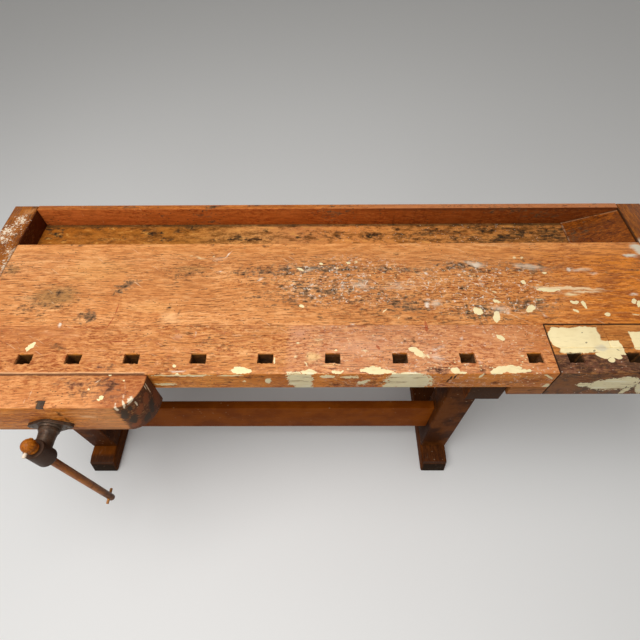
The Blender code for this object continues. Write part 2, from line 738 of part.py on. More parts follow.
def make_stretcher(end, y, open_side):
    """A stretcher with a short tenon in each leg, held by a bolt and a nut at each end."""
    left_x = LEFT_TRESTLE_X + TRESTLE_WIDTH
    right_x = RIGHT_TRESTLE_X
    x = (left_x + SEAT, right_x - SEAT)
    stretcher = box(
        f"{end}_stretcher", x, y, (STRETCHER_BOTTOM, STRETCHER_TOP), "base_wood", BOARD_EDGE
    )
    tenon_x = (x[0] - STRETCHER_TENON, x[1] + STRETCHER_TENON)
    tenon_y = (y[0] + STRETCHER_SHOULDER, y[1] - STRETCHER_SHOULDER)
    tenon_z = (STRETCHER_BOTTOM + STRETCHER_SHOULDER, STRETCHER_TOP - STRETCHER_SHOULDER)
    join(stretcher, box(f"{end}_stretcher_tenon", tenon_x, tenon_y, tenon_z, None, home=cutters))
    middle_y = (y[0] + y[1]) / 2
    z = STRETCHER_MIDDLE_Z
    if open_side > 0:
        pocket_y = (y[0] + POCKET_WALL, y[1] + 0.01)
    else:
        pocket_y = (y[0] - 0.01, y[1] - POCKET_WALL)
    sides = (
        ("left", LEFT_TRESTLE_X, left_x, tenon_x[0], 1),
        ("right", RIGHT_TRESTLE_X + TRESTLE_WIDTH, right_x, tenon_x[1], -1),
    )
    for side, outer_x, inner_x, end_x, way in sides:
        leg = bpy.data.objects[f"{side}_{end}_leg"]
        cut_box(
            leg,
            sorted((inner_x - way * STRETCHER_TENON, inner_x + way * 0.01)),
            (tenon_y[0] - SEAT, tenon_y[1] + SEAT),
            (tenon_z[0] - SEAT, tenon_z[1] + SEAT),
        )
        nut_x = end_x + way * STRETCHER_NUT_INSET
        tip_x = nut_x + way * (NUT_THICKNESS / 2 + BOLT_END)
        name = f"{side}_{end}_stretcher"
        start = (outer_x, middle_y, z)
        bolt(name + "_bolt", start, (way, 0, 0), abs(tip_x - outer_x))
        square_nut(name + "_nut", nut_x, middle_y, z)
        hole = BOLT_RADIUS + PIN_FIT
        mouth = (outer_x - way * 0.01, middle_y, z)
        cut_bore(leg, mouth, (inner_x, middle_y, z), hole, SMALL_SIDES)
        before_end = (end_x - way * 0.01, middle_y, z)
        past_tip = (tip_x + way * 0.002, middle_y, z)
        cut_bore(stretcher, before_end, past_tip, hole, SMALL_SIDES)
        cut_box(
            stretcher,
            around(nut_x, NUT_POCKET_LENGTH),
            pocket_y,
            around(z, NUT_SIZE, NUT_POCKET_PLAY),
        )


def arc(middle, radii, start, end, steps):
    """Points of an elliptical arc between two angles in degrees."""
    points = []
    for step in range(steps + 1):
        angle = math.radians(start + (end - start) * step / steps)
        points.append(
            (middle[0] + radii[0] * math.cos(angle), middle[1] + radii[1] * math.sin(angle))
        )
    return points


def winged_outline():
    """A flange with a round middle and two tapered wings, as (across, rise)."""
    taper = math.degrees(math.acos((WING_CENTRE_RADIUS - WING_RADIUS) / WING_SPREAD))
    wing = (WING_RADIUS, WING_RADIUS)
    centre = (WING_CENTRE_RADIUS, WING_CENTRE_RADIUS)
    return (
        arc((WING_SPREAD, 0), wing, -taper, taper, 6)
        + arc((0, 0), centre, taper, 180 - taper, 6)
        + arc((-WING_SPREAD, 0), wing, 180 - taper, 180 + taper, 6)
        + arc((0, 0), centre, 180 + taper, 360 - taper, 6)
    )


def make_flange(prefix, face, out, outline):
    """An iron plate on the jaw's face, with a boss that the screw's collar bears on."""
    across = UP.cross(out)
    inner = face + out * SEAT
    middle = inner + out * FLANGE_THICKNESS / 2
    flange = outlined(
        prefix + "_flange", outline, middle, FLANGE_THICKNESS, across, UP, "iron"
    )
    plate_face = inner + out * FLANGE_THICKNESS
    boss = rod(
        prefix + "_boss",
        inner + out * FLANGE_THICKNESS / 2,
        plate_face + out * BOSS_HEIGHT,
        BOSS_RADIUS,
        None,
        home=cutters,
    )
    join(flange, boss)
    reach = out * 0.03
    cut_bore(flange, inner - reach, inner + reach, SCREW_RADIUS + SCREW_FIT, ROUND_SIDES)
    return flange


def make_screw(prefix, face, out, reach):
    """A vise screw: threaded bar, garter groove, collar, neck and a hub with an upright eye."""
    collar = SEAT + FLANGE_THICKNESS + BOSS_HEIGHT + SEAT
    groove_outer = -(GARTER_START - SEAT)
    groove_inner = -(GARTER_START + GARTER_THICKNESS + SEAT)
    profile = [
        (0, HUB_REACH),
        (NECK_RADIUS, HUB_REACH),
        (NECK_RADIUS, HUB_REACH - HUB_RADIUS * 0.7),
        (COLLAR_RADIUS - 0.002, collar + COLLAR_WIDTH + 0.002),
        (COLLAR_RADIUS, collar + COLLAR_WIDTH),
        (COLLAR_RADIUS, collar),
        (SCREW_RADIUS, collar),
        (SCREW_RADIUS, groove_outer),
        (GROOVE_RADIUS, groove_outer),
        (GROOVE_RADIUS, groove_inner),
        (SCREW_RADIUS, groove_inner),
        (SCREW_RADIUS, -(reach - SCREW_TIP)),
        (SCREW_RADIUS - SCREW_TIP / 2, -reach),
        (0, -reach),
    ]
    screw = turned(prefix + "_screw", profile, face, out, "iron")
    hub_middle = face + out * HUB_REACH
    half = UP * HUB_HEIGHT / 2
    hub = rod(
        prefix + "_hub", hub_middle - half, hub_middle + half, HUB_RADIUS, None, home=cutters
    )
    add_bevel(hub, HUB_EDGE)
    join(screw, hub)
    cut_bore(
        screw, hub_middle - half * 2, hub_middle + half * 2, HANDLE_RADIUS + EYE_FIT, ROUND_SIDES
    )
    return screw


def make_garter(prefix, face, out, jaw):
    """A flat key driven into the jaw from above. Its side lies in the screw's groove."""
    top = BENCH_HEIGHT - face.z
    across = UP.cross(out)
    near = GROOVE_RADIUS + SEAT
    far = near + GARTER_WIDTH
    back = GARTER_START + GARTER_THICKNESS

    def spans(start, end, low, high, play=0.0):
        corners = (
            face - out * start + across * (near - play) + UP * low,
            face - out * end + across * (far + play) + UP * high,
        )
        return [sorted((corners[0][i], corners[1][i])) for i in range(3)]

    key = box(prefix + "_garter", *spans(GARTER_START, back, -GARTER_DEPTH, top), "iron")
    head = spans(SEAT, back - SEAT, top - GARTER_HEAD, top)
    join(key, box(prefix + "_garter_head", *head, None, home=cutters))
    slot_end = -GARTER_DEPTH - SEAT
    cut_box(jaw, *spans(GARTER_START - SEAT, back + SEAT, slot_end, top + 0.01, SEAT))
    cut_box(jaw, *spans(-0.01, back + SEAT, top - GARTER_HEAD - SEAT, top + 0.01, SEAT))
    return key


def make_handle(prefix, hub_middle, out):
    """A wooden handle that hangs in the hub's eye by its knob, with a pin through each end."""
    hub_top = HUB_HEIGHT / 2
    seat = hub_top + SEAT
    knob = hub_top + KNOB_CENTRE
    cove_angle = math.degrees(math.acos(KNOB_COVE_RADIUS / KNOB_RADIUS))
    profile = [(0, knob + KNOB_RADIUS)]
    profile += arc((0, knob), (KNOB_RADIUS, KNOB_RADIUS), 75, -cove_angle, 8)
    profile += [
        (KNOB_COVE_RADIUS, seat + KNOB_COLLAR_HEIGHT + 0.002),
        (KNOB_COLLAR_RADIUS, seat + KNOB_COLLAR_HEIGHT),
        (KNOB_COLLAR_RADIUS, seat),
        (HANDLE_RADIUS, seat),
        (HANDLE_RADIUS, -(HANDLE_DROP - 0.003)),
        (HANDLE_RADIUS - 0.003, -HANDLE_DROP),
        (0, -HANDLE_DROP),
    ]
    handle = turned(prefix + "_handle", profile, hub_middle, UP, "handle_wood")
    half = out * HANDLE_PIN_LENGTH / 2
    pins = []
    places = (("upper", knob, UPPER_PIN_SHIFT), ("lower", HANDLE_PIN_RISE - HANDLE_DROP, 0))
    for end, height, shift in places:
        middle = hub_middle + UP * height + out * shift
        name = f"{prefix}_handle_{end}_pin"
        ends = (middle - half, middle + half)
        pins.append(rod(name, *ends, HANDLE_PIN_RADIUS, "handle_wood", SMALL_SIDES))
        cut_bore(handle, *ends, HANDLE_PIN_RADIUS + PIN_FIT, SMALL_SIDES)
    return handle, pins


def make_vise_nut(prefix, plate_face, out, plate):
    """An iron nut: a plate that bears on wood, and a threaded boss on its far side."""
    across = UP.cross(out)
    spread = across * plate[0] / 2 + UP * plate[1] / 2
    corners = (plate_face - spread, plate_face - out * NUT_PLATE_THICKNESS + spread)
    spans = [sorted((corners[0][i], corners[1][i])) for i in range(3)]
    nut = box(prefix + "_nut", *spans, "iron", IRON_EDGE)
    boss_end = plate_face - out * VISE_NUT_LENGTH
    boss = rod(
        prefix + "_nut_boss",
        plate_face - out * NUT_PLATE_THICKNESS / 2,
        boss_end,
        VISE_NUT_RADIUS,
        None,
        BORE_SIDES,
        cutters,
    )
    join(nut, boss)
    cut_bore(
        nut, plate_face + out * 0.01, boss_end - out * 0.01, SCREW_RADIUS + SCREW_FIT, ROUND_SIDES
    )
    return nut


def make_front_vise():
    """The jaw with its guide rods, screw and handle, and what carries them under the top."""
    face = Vector((FRONT_SCREW_X, JAW_FACE, FRONT_SCREW_Z))
    corner = (JAW_LENGTH - JAW_CORNER_X, JAW_FACE + JAW_CORNER_Y)
    outline = [(0, JAW_BACK), (0, JAW_FACE)]
    outline += arc(corner, (JAW_CORNER_X, JAW_CORNER_Y), 270, 360, 8)
    outline += [(JAW_LENGTH, JAW_BACK)]
    jaw = outlined(
        "front_vise_jaw",
        outline,
        (0, 0, BENCH_HEIGHT - JAW_HEIGHT / 2),
        JAW_HEIGHT,
        (1, 0, 0),
        (0, 1, 0),
        "vise_wood",
    )
    add_bevel(jaw, JAW_EDGE)
    cut_bore(
        jaw, face + FORWARD * 0.01, face - FORWARD * 0.1, SCREW_RADIUS + SCREW_FIT, ROUND_SIDES
    )
    below_top = (JAW_BOTTOM, SLAB_BOTTOM - SEAT)
    block = box(
        "front_vise_cheek_block",
        (FRONT_BLOCK_X, FRONT_BLOCK_END_X),
        (0, FRONT_BLOCK_THICKNESS),
        below_top,
        "vise_wood",
        BOARD_EDGE,
    )
    beam = box(
        "front_vise_guide_beam",
        (FRONT_BLOCK_X, FRONT_BLOCK_END_X),
        (GUIDE_BEAM_Y, GUIDE_BEAM_Y + GUIDE_BEAM_THICKNESS),
        (below_top[1] - GUIDE_BEAM_HEIGHT, below_top[1]),
        "vise_wood",
        BOARD_EDGE,
    )
    bench_dogs, _ = dog_hole_places()
    above_block = [x for x in bench_dogs if FRONT_BLOCK_X < x < FRONT_BLOCK_END_X]
    cut_dog_holes(block, above_block, JAW_BOTTOM)
    for item in (block, beam):
        y = item.matrix_world.translation.y + ORIGIN.y
        centre = Vector((FRONT_SCREW_X, y, FRONT_SCREW_Z))
        reach = FORWARD * 0.05
        cut_bore(item, centre + reach, centre - reach, SCREW_RADIUS + SCREW_FIT, ROUND_SIDES)
    rods = []
    for side, x in (("left", LEFT_ROD_X), ("right", RIGHT_ROD_X)):
        start = (x, JAW_BACK - GUIDE_ROD_SEAT, FRONT_SCREW_Z)
        end = (x, GUIDE_ROD_END, FRONT_SCREW_Z)
        name = f"front_vise_{side}_guide_rod"
        rods.append(rod(name, start, end, GUIDE_ROD_RADIUS, "iron", BORE_SIDES))
        blind = (x, JAW_BACK - GUIDE_ROD_SEAT - SEAT, FRONT_SCREW_Z)
        past = (x, GUIDE_ROD_END + 0.05, FRONT_SCREW_Z)
        cut_bore(jaw, blind, (x, 0.01, FRONT_SCREW_Z), GUIDE_ROD_RADIUS + PIN_FIT)
        for item in (block, beam):
            cut_bore(item, (x, -0.01, FRONT_SCREW_Z), past, GUIDE_ROD_RADIUS + ROD_FIT)
    plate_face = Vector((FRONT_SCREW_X, FRONT_BLOCK_THICKNESS + SEAT, FRONT_SCREW_Z))
    make_vise_nut("front_vise", plate_face, FORWARD, FRONT_NUT_PLATE)
    flange = make_flange("front_vise", face, FORWARD, winged_outline())
    garter = make_garter("front_vise", face, FORWARD, jaw)
    screw = make_screw("front_vise", face, FORWARD, FRONT_SCREW_REACH - JAW_FACE)
    hub_middle = face + FORWARD * HUB_REACH
    handle, pins = make_handle("front_vise", hub_middle, FORWARD)
    slide = add_pivot("front_jaw_slide_axis", face)
    turn = add_pivot("front_screw_turn_axis", face, slide)
    swing = add_pivot("front_handle_slide_axis", hub_middle, turn)
    carry(slide, jaw, flange, garter, *rods)
    carry(turn, screw)
    carry(swing, handle, *pins)


def make_tail_vise(right_cap):
    """The L-shaped tail vise, which slides along a guide rail on the slab's side."""
    _, tail_dogs = dog_hole_places()
    z = (TAIL_BOTTOM, BENCH_HEIGHT)
    rail = box(
        "tail_vise_front_rail",
        (TAIL_X, TAIL_END_X - SEAT),
        (0, TAIL_RAIL_WIDTH),
        z,
        "vise_wood",
        BOARD_EDGE,
    )
    cut_dog_holes(rail, tail_dogs, TAIL_BOTTOM)
    behind = (TAIL_RAIL_WIDTH + SEAT, RAIL_WIDTH)
    block = box(
        "tail_vise_jaw_block",
        (TAIL_X, TAIL_BLOCK_END_X),
        behind,
        z,
        "vise_wood",
        BOARD_EDGE,
    )
    box(
        "tail_vise_cover_board",
        (TAIL_BLOCK_END_X + SEAT, TAIL_END_X - SEAT),
        behind,
        (TAIL_COVER_BOTTOM, BENCH_HEIGHT),
        "vise_wood",
        BOARD_EDGE,
    )
    end_block = box(
        "tail_vise_end_block", (TAIL_END_X, TAIL_FACE), (0, RAIL_WIDTH), z, "vise_wood", BASE_EDGE
    )
    finger_bottoms = (
        TAIL_BOTTOM + TAIL_FINGER_EDGE,
        BENCH_HEIGHT - TAIL_FINGER_EDGE - TAIL_FINGER_HEIGHT,
    )
    for bottom in finger_bottoms:
        finger_z = (bottom, bottom + TAIL_FINGER_HEIGHT)
        finger_x = (TAIL_END_X - 0.02, TAIL_FACE)
        finger = box(
            "tail_finger", finger_x, (0, TAIL_RAIL_WIDTH), finger_z, None, home=cutters
        )
        join(rail, finger)
        cut_box(
            end_block,
            (TAIL_END_X - 0.01, TAIL_FACE + 0.01),
            (-0.01, TAIL_RAIL_WIDTH + SEAT),
            (finger_z[0] - SEAT, finger_z[1] + SEAT),
        )
    guide_top = BENCH_HEIGHT - TAIL_GUIDE_DROP
    guide_z = (guide_top - TAIL_GUIDE_HEIGHT, guide_top)
    guide_y = (RAIL_WIDTH - TAIL_GUIDE_DEPTH, RAIL_WIDTH)
    nut_face = RIGHT_CAP_X - SEAT
    box(
        "tail_vise_guide_rail",
        (BENCH_JAW_X + SEAT, nut_face - VISE_NUT_LENGTH - 0.002),
        guide_y,
        guide_z,
        "vise_wood",
    )
    cut_box(
        block,
        (TAIL_X - 0.01, TAIL_BLOCK_END_X + 0.01),
        (guide_y[0] - GLIDE, RAIL_WIDTH + 0.01),
        (guide_z[0] - GLIDE, guide_z[1] + GLIDE),
    )
    face = Vector((TAIL_FACE, TAIL_SCREW_Y, TAIL_SCREW_Z))
    bore_ends = (face - RIGHT * 0.1, face + RIGHT * 0.01)
    cut_bore(end_block, *bore_ends, SCREW_RADIUS + SCREW_FIT, ROUND_SIDES)
    cap_ends = (face - RIGHT * 0.2, face)
    cut_bore(right_cap, *cap_ends, SCREW_RADIUS + SCREW_FIT, ROUND_SIDES)
    plate_face = Vector((nut_face, TAIL_SCREW_Y, TAIL_SCREW_Z))
    make_vise_nut("tail_vise", plate_face, RIGHT, TAIL_NUT_PLATE)
    circle = arc((0, 0), (TAIL_FLANGE_RADIUS, TAIL_FLANGE_RADIUS), 0, 360, ROUND_SIDES)[:-1]
    flange = make_flange("tail_vise", face, RIGHT, circle)
    garter = make_garter("tail_vise", face, RIGHT, end_block)
    screw = make_screw("tail_vise", face, RIGHT, TAIL_FACE - TAIL_SCREW_TIP_X)
    hub_middle = face + RIGHT * HUB_REACH
    handle, pins = make_handle("tail_vise", hub_middle, RIGHT)
    slide = add_pivot("tail_vise_slide_axis", face)
    turn = add_pivot("tail_screw_turn_axis", face, slide)
    swing = add_pivot("tail_handle_slide_axis", hub_middle, turn)
    cover = bpy.data.objects["tail_vise_cover_board"]
    carry(slide, rail, block, cover, end_block, flange, garter)
    carry(turn, screw)
    carry(swing, handle, *pins)


def make_bench():
    slab, _, tongue_y = make_top()
    left_cap, right_cap = make_end_caps(tongue_y)
    make_cap_bolts(slab, left_cap, right_cap)
    make_tray()
    make_trestle("left", LEFT_TRESTLE_X, slab)
    make_trestle("right", RIGHT_TRESTLE_X, slab)
    front_y = around(LEG_SETBACK + LEG_DEPTH / 2, STRETCHER_THICKNESS)
    make_stretcher("front", front_y, 1)
    make_stretcher("rear", mirrored(front_y), -1)
    make_front_vise()
    make_tail_vise(right_cap)


make_bench()
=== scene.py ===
"""The looks of the carpenter's workbench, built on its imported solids."""

import json
import math

import bmesh
import bpy
from mathutils import Matrix, Vector, noise

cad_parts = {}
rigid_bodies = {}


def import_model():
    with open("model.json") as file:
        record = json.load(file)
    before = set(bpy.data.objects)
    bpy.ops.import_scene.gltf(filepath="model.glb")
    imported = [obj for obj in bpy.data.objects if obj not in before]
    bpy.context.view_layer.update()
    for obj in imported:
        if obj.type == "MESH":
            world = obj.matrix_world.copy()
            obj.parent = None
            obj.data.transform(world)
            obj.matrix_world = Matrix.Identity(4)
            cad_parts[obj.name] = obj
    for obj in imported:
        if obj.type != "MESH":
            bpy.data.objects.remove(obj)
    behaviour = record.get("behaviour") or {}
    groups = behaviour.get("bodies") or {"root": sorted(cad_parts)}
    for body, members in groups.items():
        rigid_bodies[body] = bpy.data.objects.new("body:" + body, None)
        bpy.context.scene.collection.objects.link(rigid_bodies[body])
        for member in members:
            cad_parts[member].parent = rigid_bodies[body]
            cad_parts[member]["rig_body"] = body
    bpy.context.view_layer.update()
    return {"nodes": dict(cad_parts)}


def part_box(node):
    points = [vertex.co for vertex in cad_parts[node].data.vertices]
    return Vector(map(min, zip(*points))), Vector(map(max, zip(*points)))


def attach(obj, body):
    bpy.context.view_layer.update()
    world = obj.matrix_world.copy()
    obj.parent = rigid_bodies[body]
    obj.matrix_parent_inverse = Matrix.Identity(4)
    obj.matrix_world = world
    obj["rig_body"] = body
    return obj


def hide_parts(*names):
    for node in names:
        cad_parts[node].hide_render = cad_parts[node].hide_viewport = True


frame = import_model()

TOP = 0.785  # the height of the bench
SLAB_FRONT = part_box("top_slab")[0].y
RAIL_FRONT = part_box("dog_hole_rail")[0].y
RAIL_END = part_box("dog_hole_rail")[1].x
SEAM_X = 0.457  # where the rail ends and the tail vise begins
DOG_LINE = RAIL_FRONT + 0.0425  # the middle of the dog holes
DOG_WIDTH = 0.027
THREAD_LEAD = 0.006
FLANGE_FACE = 0.0083  # how far a flange stands out where its wood screws sit
HUB_OUT = 0.0712  # from the jaw's face to the middle of the upright hub
WELD = 0.00002
MILLIMETRE = 0.001
OUT_FRONT = Vector((0, -1, 0))
OUT_RIGHT = Vector((1, 0, 0))
UP = Vector((0, 0, 1))


# Materials


class Level:
    """A number that varies over a surface. Arithmetic on it adds Math nodes."""

    def __init__(self, nodes, socket):
        self.nodes = nodes
        self.socket = socket

    def __add__(self, other):
        return self.nodes.math("ADD", self, other)

    def __sub__(self, other):
        return self.nodes.math("SUBTRACT", self, other)

    def __rsub__(self, other):
        return self.nodes.math("SUBTRACT", other, self)

    def __mul__(self, other):
        return self.nodes.math("MULTIPLY", self, other)

    def __truediv__(self, other):
        return self.nodes.math("DIVIDE", self, other)

    __radd__ = __add__
    __rmul__ = __mul__

    def between(self, low, high):
        """0 below low, 1 above high, and smooth between them."""
        return self.nodes.node(
            "MapRange",
            {"interpolation_type": "SMOOTHSTEP"},
            {"Value": self, "From Min": low, "From Max": high},
        )

    def most(self, other):
        return self.nodes.math("MAXIMUM", self, other)

    def least(self, other):
        return self.nodes.math("MINIMUM", self, other)


class Nodes:
    """A node tree, emptied and then built up one node at a time."""

    def __init__(self, tree):
        self.tree = tree
        tree.nodes.clear()

    def node(self, kind, settings=None, sockets=None, outlet=0):
        """Adds one node with its settings, then its sockets' values or links."""
        made = self.tree.nodes.new("ShaderNode" + kind)
        for setting, value in (settings or {}).items():
            if setting == "stops":
                steps = made.color_ramp.elements
                while len(steps) < len(value):
                    steps.new(0.5)
                for step, (where, colour) in zip(steps, value):
                    step.position = where
                    step.color = (*colour, 1)
            else:
                setattr(made, setting, value)
        for key, value in (sockets or {}).items():
            socket = made.inputs[key]
            if isinstance(value, Level):
                self.tree.links.new(value.socket, socket)
            elif isinstance(value, tuple) and socket.type == "RGBA":
                socket.default_value = (*value, 1)
            else:
                socket.default_value = value
        return Level(self, made.outputs[outlet]) if made.outputs else None

    def math(self, operation, *values):
        return self.node("Math", {"operation": operation}, dict(enumerate(values)))

    def seen_ray(self):
        """1 where the camera sees a surface, also in metal or through glass."""
        camera = self.node("LightPath", outlet="Is Camera Ray")
        glossy = self.node("LightPath", outlet="Is Glossy Ray")
        through = self.node("LightPath", outlet="Is Transmission Ray")
        return camera.most(glossy).most(through)


class Finish(Nodes):
    """A material that is built up in coats, from its ground colour outwards."""

    def __init__(self, name, metallic=0, shine=0.18):
        self.material = bpy.data.materials.new(name)
        self.material.use_nodes = True
        super().__init__(self.material.node_tree)
        self.rough = 0.5
        self.height = 0
        self.metallic = metallic
        self.shine = shine
        self.place = self.loose = self.node("TexCoord", outlet="Object")
        self.x, self.y, self.z = self.parts(self.place)

    def vector(self, operation, *values, outlet=0):
        return self.node("VectorMath", {"operation": operation}, dict(enumerate(values)), outlet)

    def parts(self, vector):
        split = self.node("SeparateXYZ", None, {0: vector}).socket.node
        return [Level(self, socket) for socket in split.outputs]

    def blend(self, share, first, second, way="MIX"):
        """A colour between two, or the second laid on the first in another way."""
        settings = {"data_type": "RGBA", "blend_type": way}
        return self.node("Mix", settings, {0: share, 6: first, 7: second}, 2)

    def ramp(self, at, *stops):
        return self.node("ValToRGB", {"stops": stops}, {0: at})

    def placed(self, shift=(0, 0, 0), turn=(0, 0, 0), size=(1, 1, 1), point=None, kind="POINT"):
        sockets = {"Vector": point or self.place, "Location": shift, "Rotation": turn}
        return self.node("Mapping", {"vector_type": kind}, {**sockets, "Scale": size})

    def cloud(self, point, scale, detail=3, rough=0.55, outlet=0):
        """Soft random variation from 0 to 1, with a middle of a half."""
        sockets = {"Vector": point, "Scale": scale, "Detail": detail, "Roughness": rough}
        return self.node("TexNoise", None, sockets, outlet)

    def coat(self, share, colour, rough=None, rise=0):
        """Lays a colour over what is there, where share is 1."""
        self.colour = self.blend(share, self.colour, colour)
        if rough is not None:
            self.rough = self.rough + (rough - self.rough) * share
        if rise:
            self.height = self.height + share * rise

    def side(self, axis):
        """How far a face turns along one axis, from 0 to 1 without its sign."""
        normal = self.node("NewGeometry", outlet="Normal")
        return self.math("ABSOLUTE", self.parts(normal)[axis])

    def wandering(self, reach, scale, through=2):
        """The place, pushed about a little in a face, so that outlines in it are uneven."""
        drift = self.cloud(self.place, scale, 2, 0.5, "Color")
        drift = self.vector("SUBTRACT", drift, (0.5, 0.5, 0.5))
        pushed = tuple(0 if axis == through else reach for axis in range(3))
        return self.vector("MULTIPLY_ADD", drift, pushed, self.place)

    def upright(self, point):
        """A place with its height second, for marks on an upright face."""
        across, behind, height = self.parts(point)
        return self.node("CombineXYZ", None, {0: across, 1: height, 2: behind})

    def inside(self, marks, point=None, level=TOP, thick=0.007, square=False):
        """How deep a point lies in the nearest mark: 1 in its middle, 0 at its rim.

        The marks lie on a face at one level. They are ovals, or blocks where square is set.
        """
        nearest = None
        turned = {0: point or self.loose}
        for x, y, long, wide, strength, turn in filled(marks):
            angle = math.radians(turn)
            if turn not in turned:
                turned[turn] = self.placed(turn=(0, 0, -angle), point=turned[0])
            middle = (
                x * math.cos(angle) + y * math.sin(angle),
                y * math.cos(angle) - x * math.sin(angle),
                level,
            )
            halves = (long, wide, thick)
            near = self.vector(
                "MULTIPLY_ADD",
                turned[turn],
                tuple(1 / half for half in halves),
                tuple(-at / half for at, half in zip(middle, halves)),
            )
            if square:
                across, along, through = self.parts(self.vector("ABSOLUTE", near))
                far = across.most(along).most(through)
            else:
                far = self.vector("LENGTH", near, outlet="Value")
            if strength < 1:
                far = self.math("MULTIPLY_ADD", far, strength, 1 - strength)
            nearest = nearest.least(far) if nearest else far
        return 1 - nearest

    def area(self, marks):
        """The same for wide soft areas with even outlines."""
        return self.inside(marks, self.place, thick=0.03)

    def specks(self, colour, scale, size, share, where=1, shift=0):
        """Small drops or flecks thrown about at random."""
        place = self.placed((shift, shift, shift), size=(0.7, 1, 1))
        dots = self.node("TexVoronoi", None, {"Vector": place, "Scale": scale})
        spread = self.cloud(place, scale * 0.12, 2).between(0.42, 0.62)
        self.coat((1 - dots.between(size * 0.6, size)) * spread * share * where, colour)

    def done(self):
        sockets = {
            "Base Color": self.colour,
            "Roughness": self.rough,
            "Metallic": self.metallic,
            "Specular IOR Level": self.shine,
        }
        if isinstance(self.height, Level):
            sockets["Normal"] = self.node("Bump", None, {"Height": self.height, "Distance": 1})
        shader = self.node("BsdfPrincipled", None, sockets)
        self.node("OutputMaterial", None, {"Surface": shader})
        return self.material


def filled(marks):
    """The rows of a mark table in metres and with nothing left out, in the order of their turns."""
    rows = []
    for row in marks:
        size = (value * MILLIMETRE for value in row[:4])
        rows.append((*size, *row[4:], *(1, 0)[len(row) - 4 :]))
    return sorted(rows, key=lambda row: row[5])


def times(colour, factors):
    return tuple(value * factor for value, factor in zip(colour, factors))


LIGHT_WOOD = ((0.92, 0.46, 0.185), (0.71, 0.28, 0.084), (0.44, 0.15, 0.04))
BROWN_WOOD = ((0.62, 0.25, 0.07), (0.43, 0.145, 0.03), (0.24, 0.07, 0.012))
DARK_WOOD = ((0.2, 0.052, 0.005), (0.108, 0.026, 0.002), (0.04, 0.009, 0.001))
SOOT = (0.048, 0.027, 0.014)
DIRT = (0.125, 0.064, 0.028)
CREAM = (1, 0.83, 0.47)
CHALK = (0.95, 0.83, 0.68)
GREY_GREEN = (0.93, 0.82, 0.5)
# Painted shadow for closed seams: the faces that meet there are darkened as if in the gap's shade
GAP_SHADOW = (0.03, 0.012, 0.005)
GAP_SHADE = (0.1, 0.03, 0.012)
TRAY_CORNER_SHADE = (0.05, 0.028, 0.01)
WHITE_SPILL = (0.8, 0.74, 0.58)
PALE_CUT = (0.93, 0.7, 0.46)
RED_PENCIL = (0.42, 0.075, 0.022)
FAINT = 0.9  # marks weaker than this are thin veils


# Marks on the boards. A row is an oval or a block: its middle and its two half sizes in
# millimetres, then its strength, 1 where it is left out, and its turn in degrees, 0 where it is.

# On the slab
YELLOW_SLAB = ((-720, 120, 130, 70), (-530, -10, 90, 30, 0.9))
PALE_SLAB = (
    (-863, 15, 77, 44, 0.3, -15), (-546, 13, 80, 39, 0.25), (-482, -45, 45, 35, 0.7, -15),
    (415, 209, 342, 20, 0.3),
)
BLUSH_SLAB = (
    (-745, -96, 150, 40, 0.25), (-150, -95, 37, 35, 0.55), (-101, 70, 107, 55, 0.3),
    (56, 11, 110, 64, 0.25), (534, 43, 159, 46, 0.3),
)
WORKED_SLAB = ((-20, 80, 240, 110), (330, 50, 240, 120))
OLIVE_SLAB = ((-800, 26, 85, 52), (-950, 120, 30, 30, 0.6), (-460, 125, 70, 22, 0.6))
CLOUDS_SLAB = (
    (-140, 122, 150, 17, 0.9), (-260, 110, 65, 17, 0.8), (-690, -41, 24, 18),
    (118, -5, 45, 26, 0.9), (307, -29, 60, 24, 0.8), (300, 130, 70, 18, 0.9),
    (440, -7, 58, 26, 0.8), (476, 121, 85, 18, 0.8), (-100, 45, 110, 35, 0.6),
    (130, 115, 90, 12, 0.7), (-620, 61, 30, 16, 0.9, 45),
)
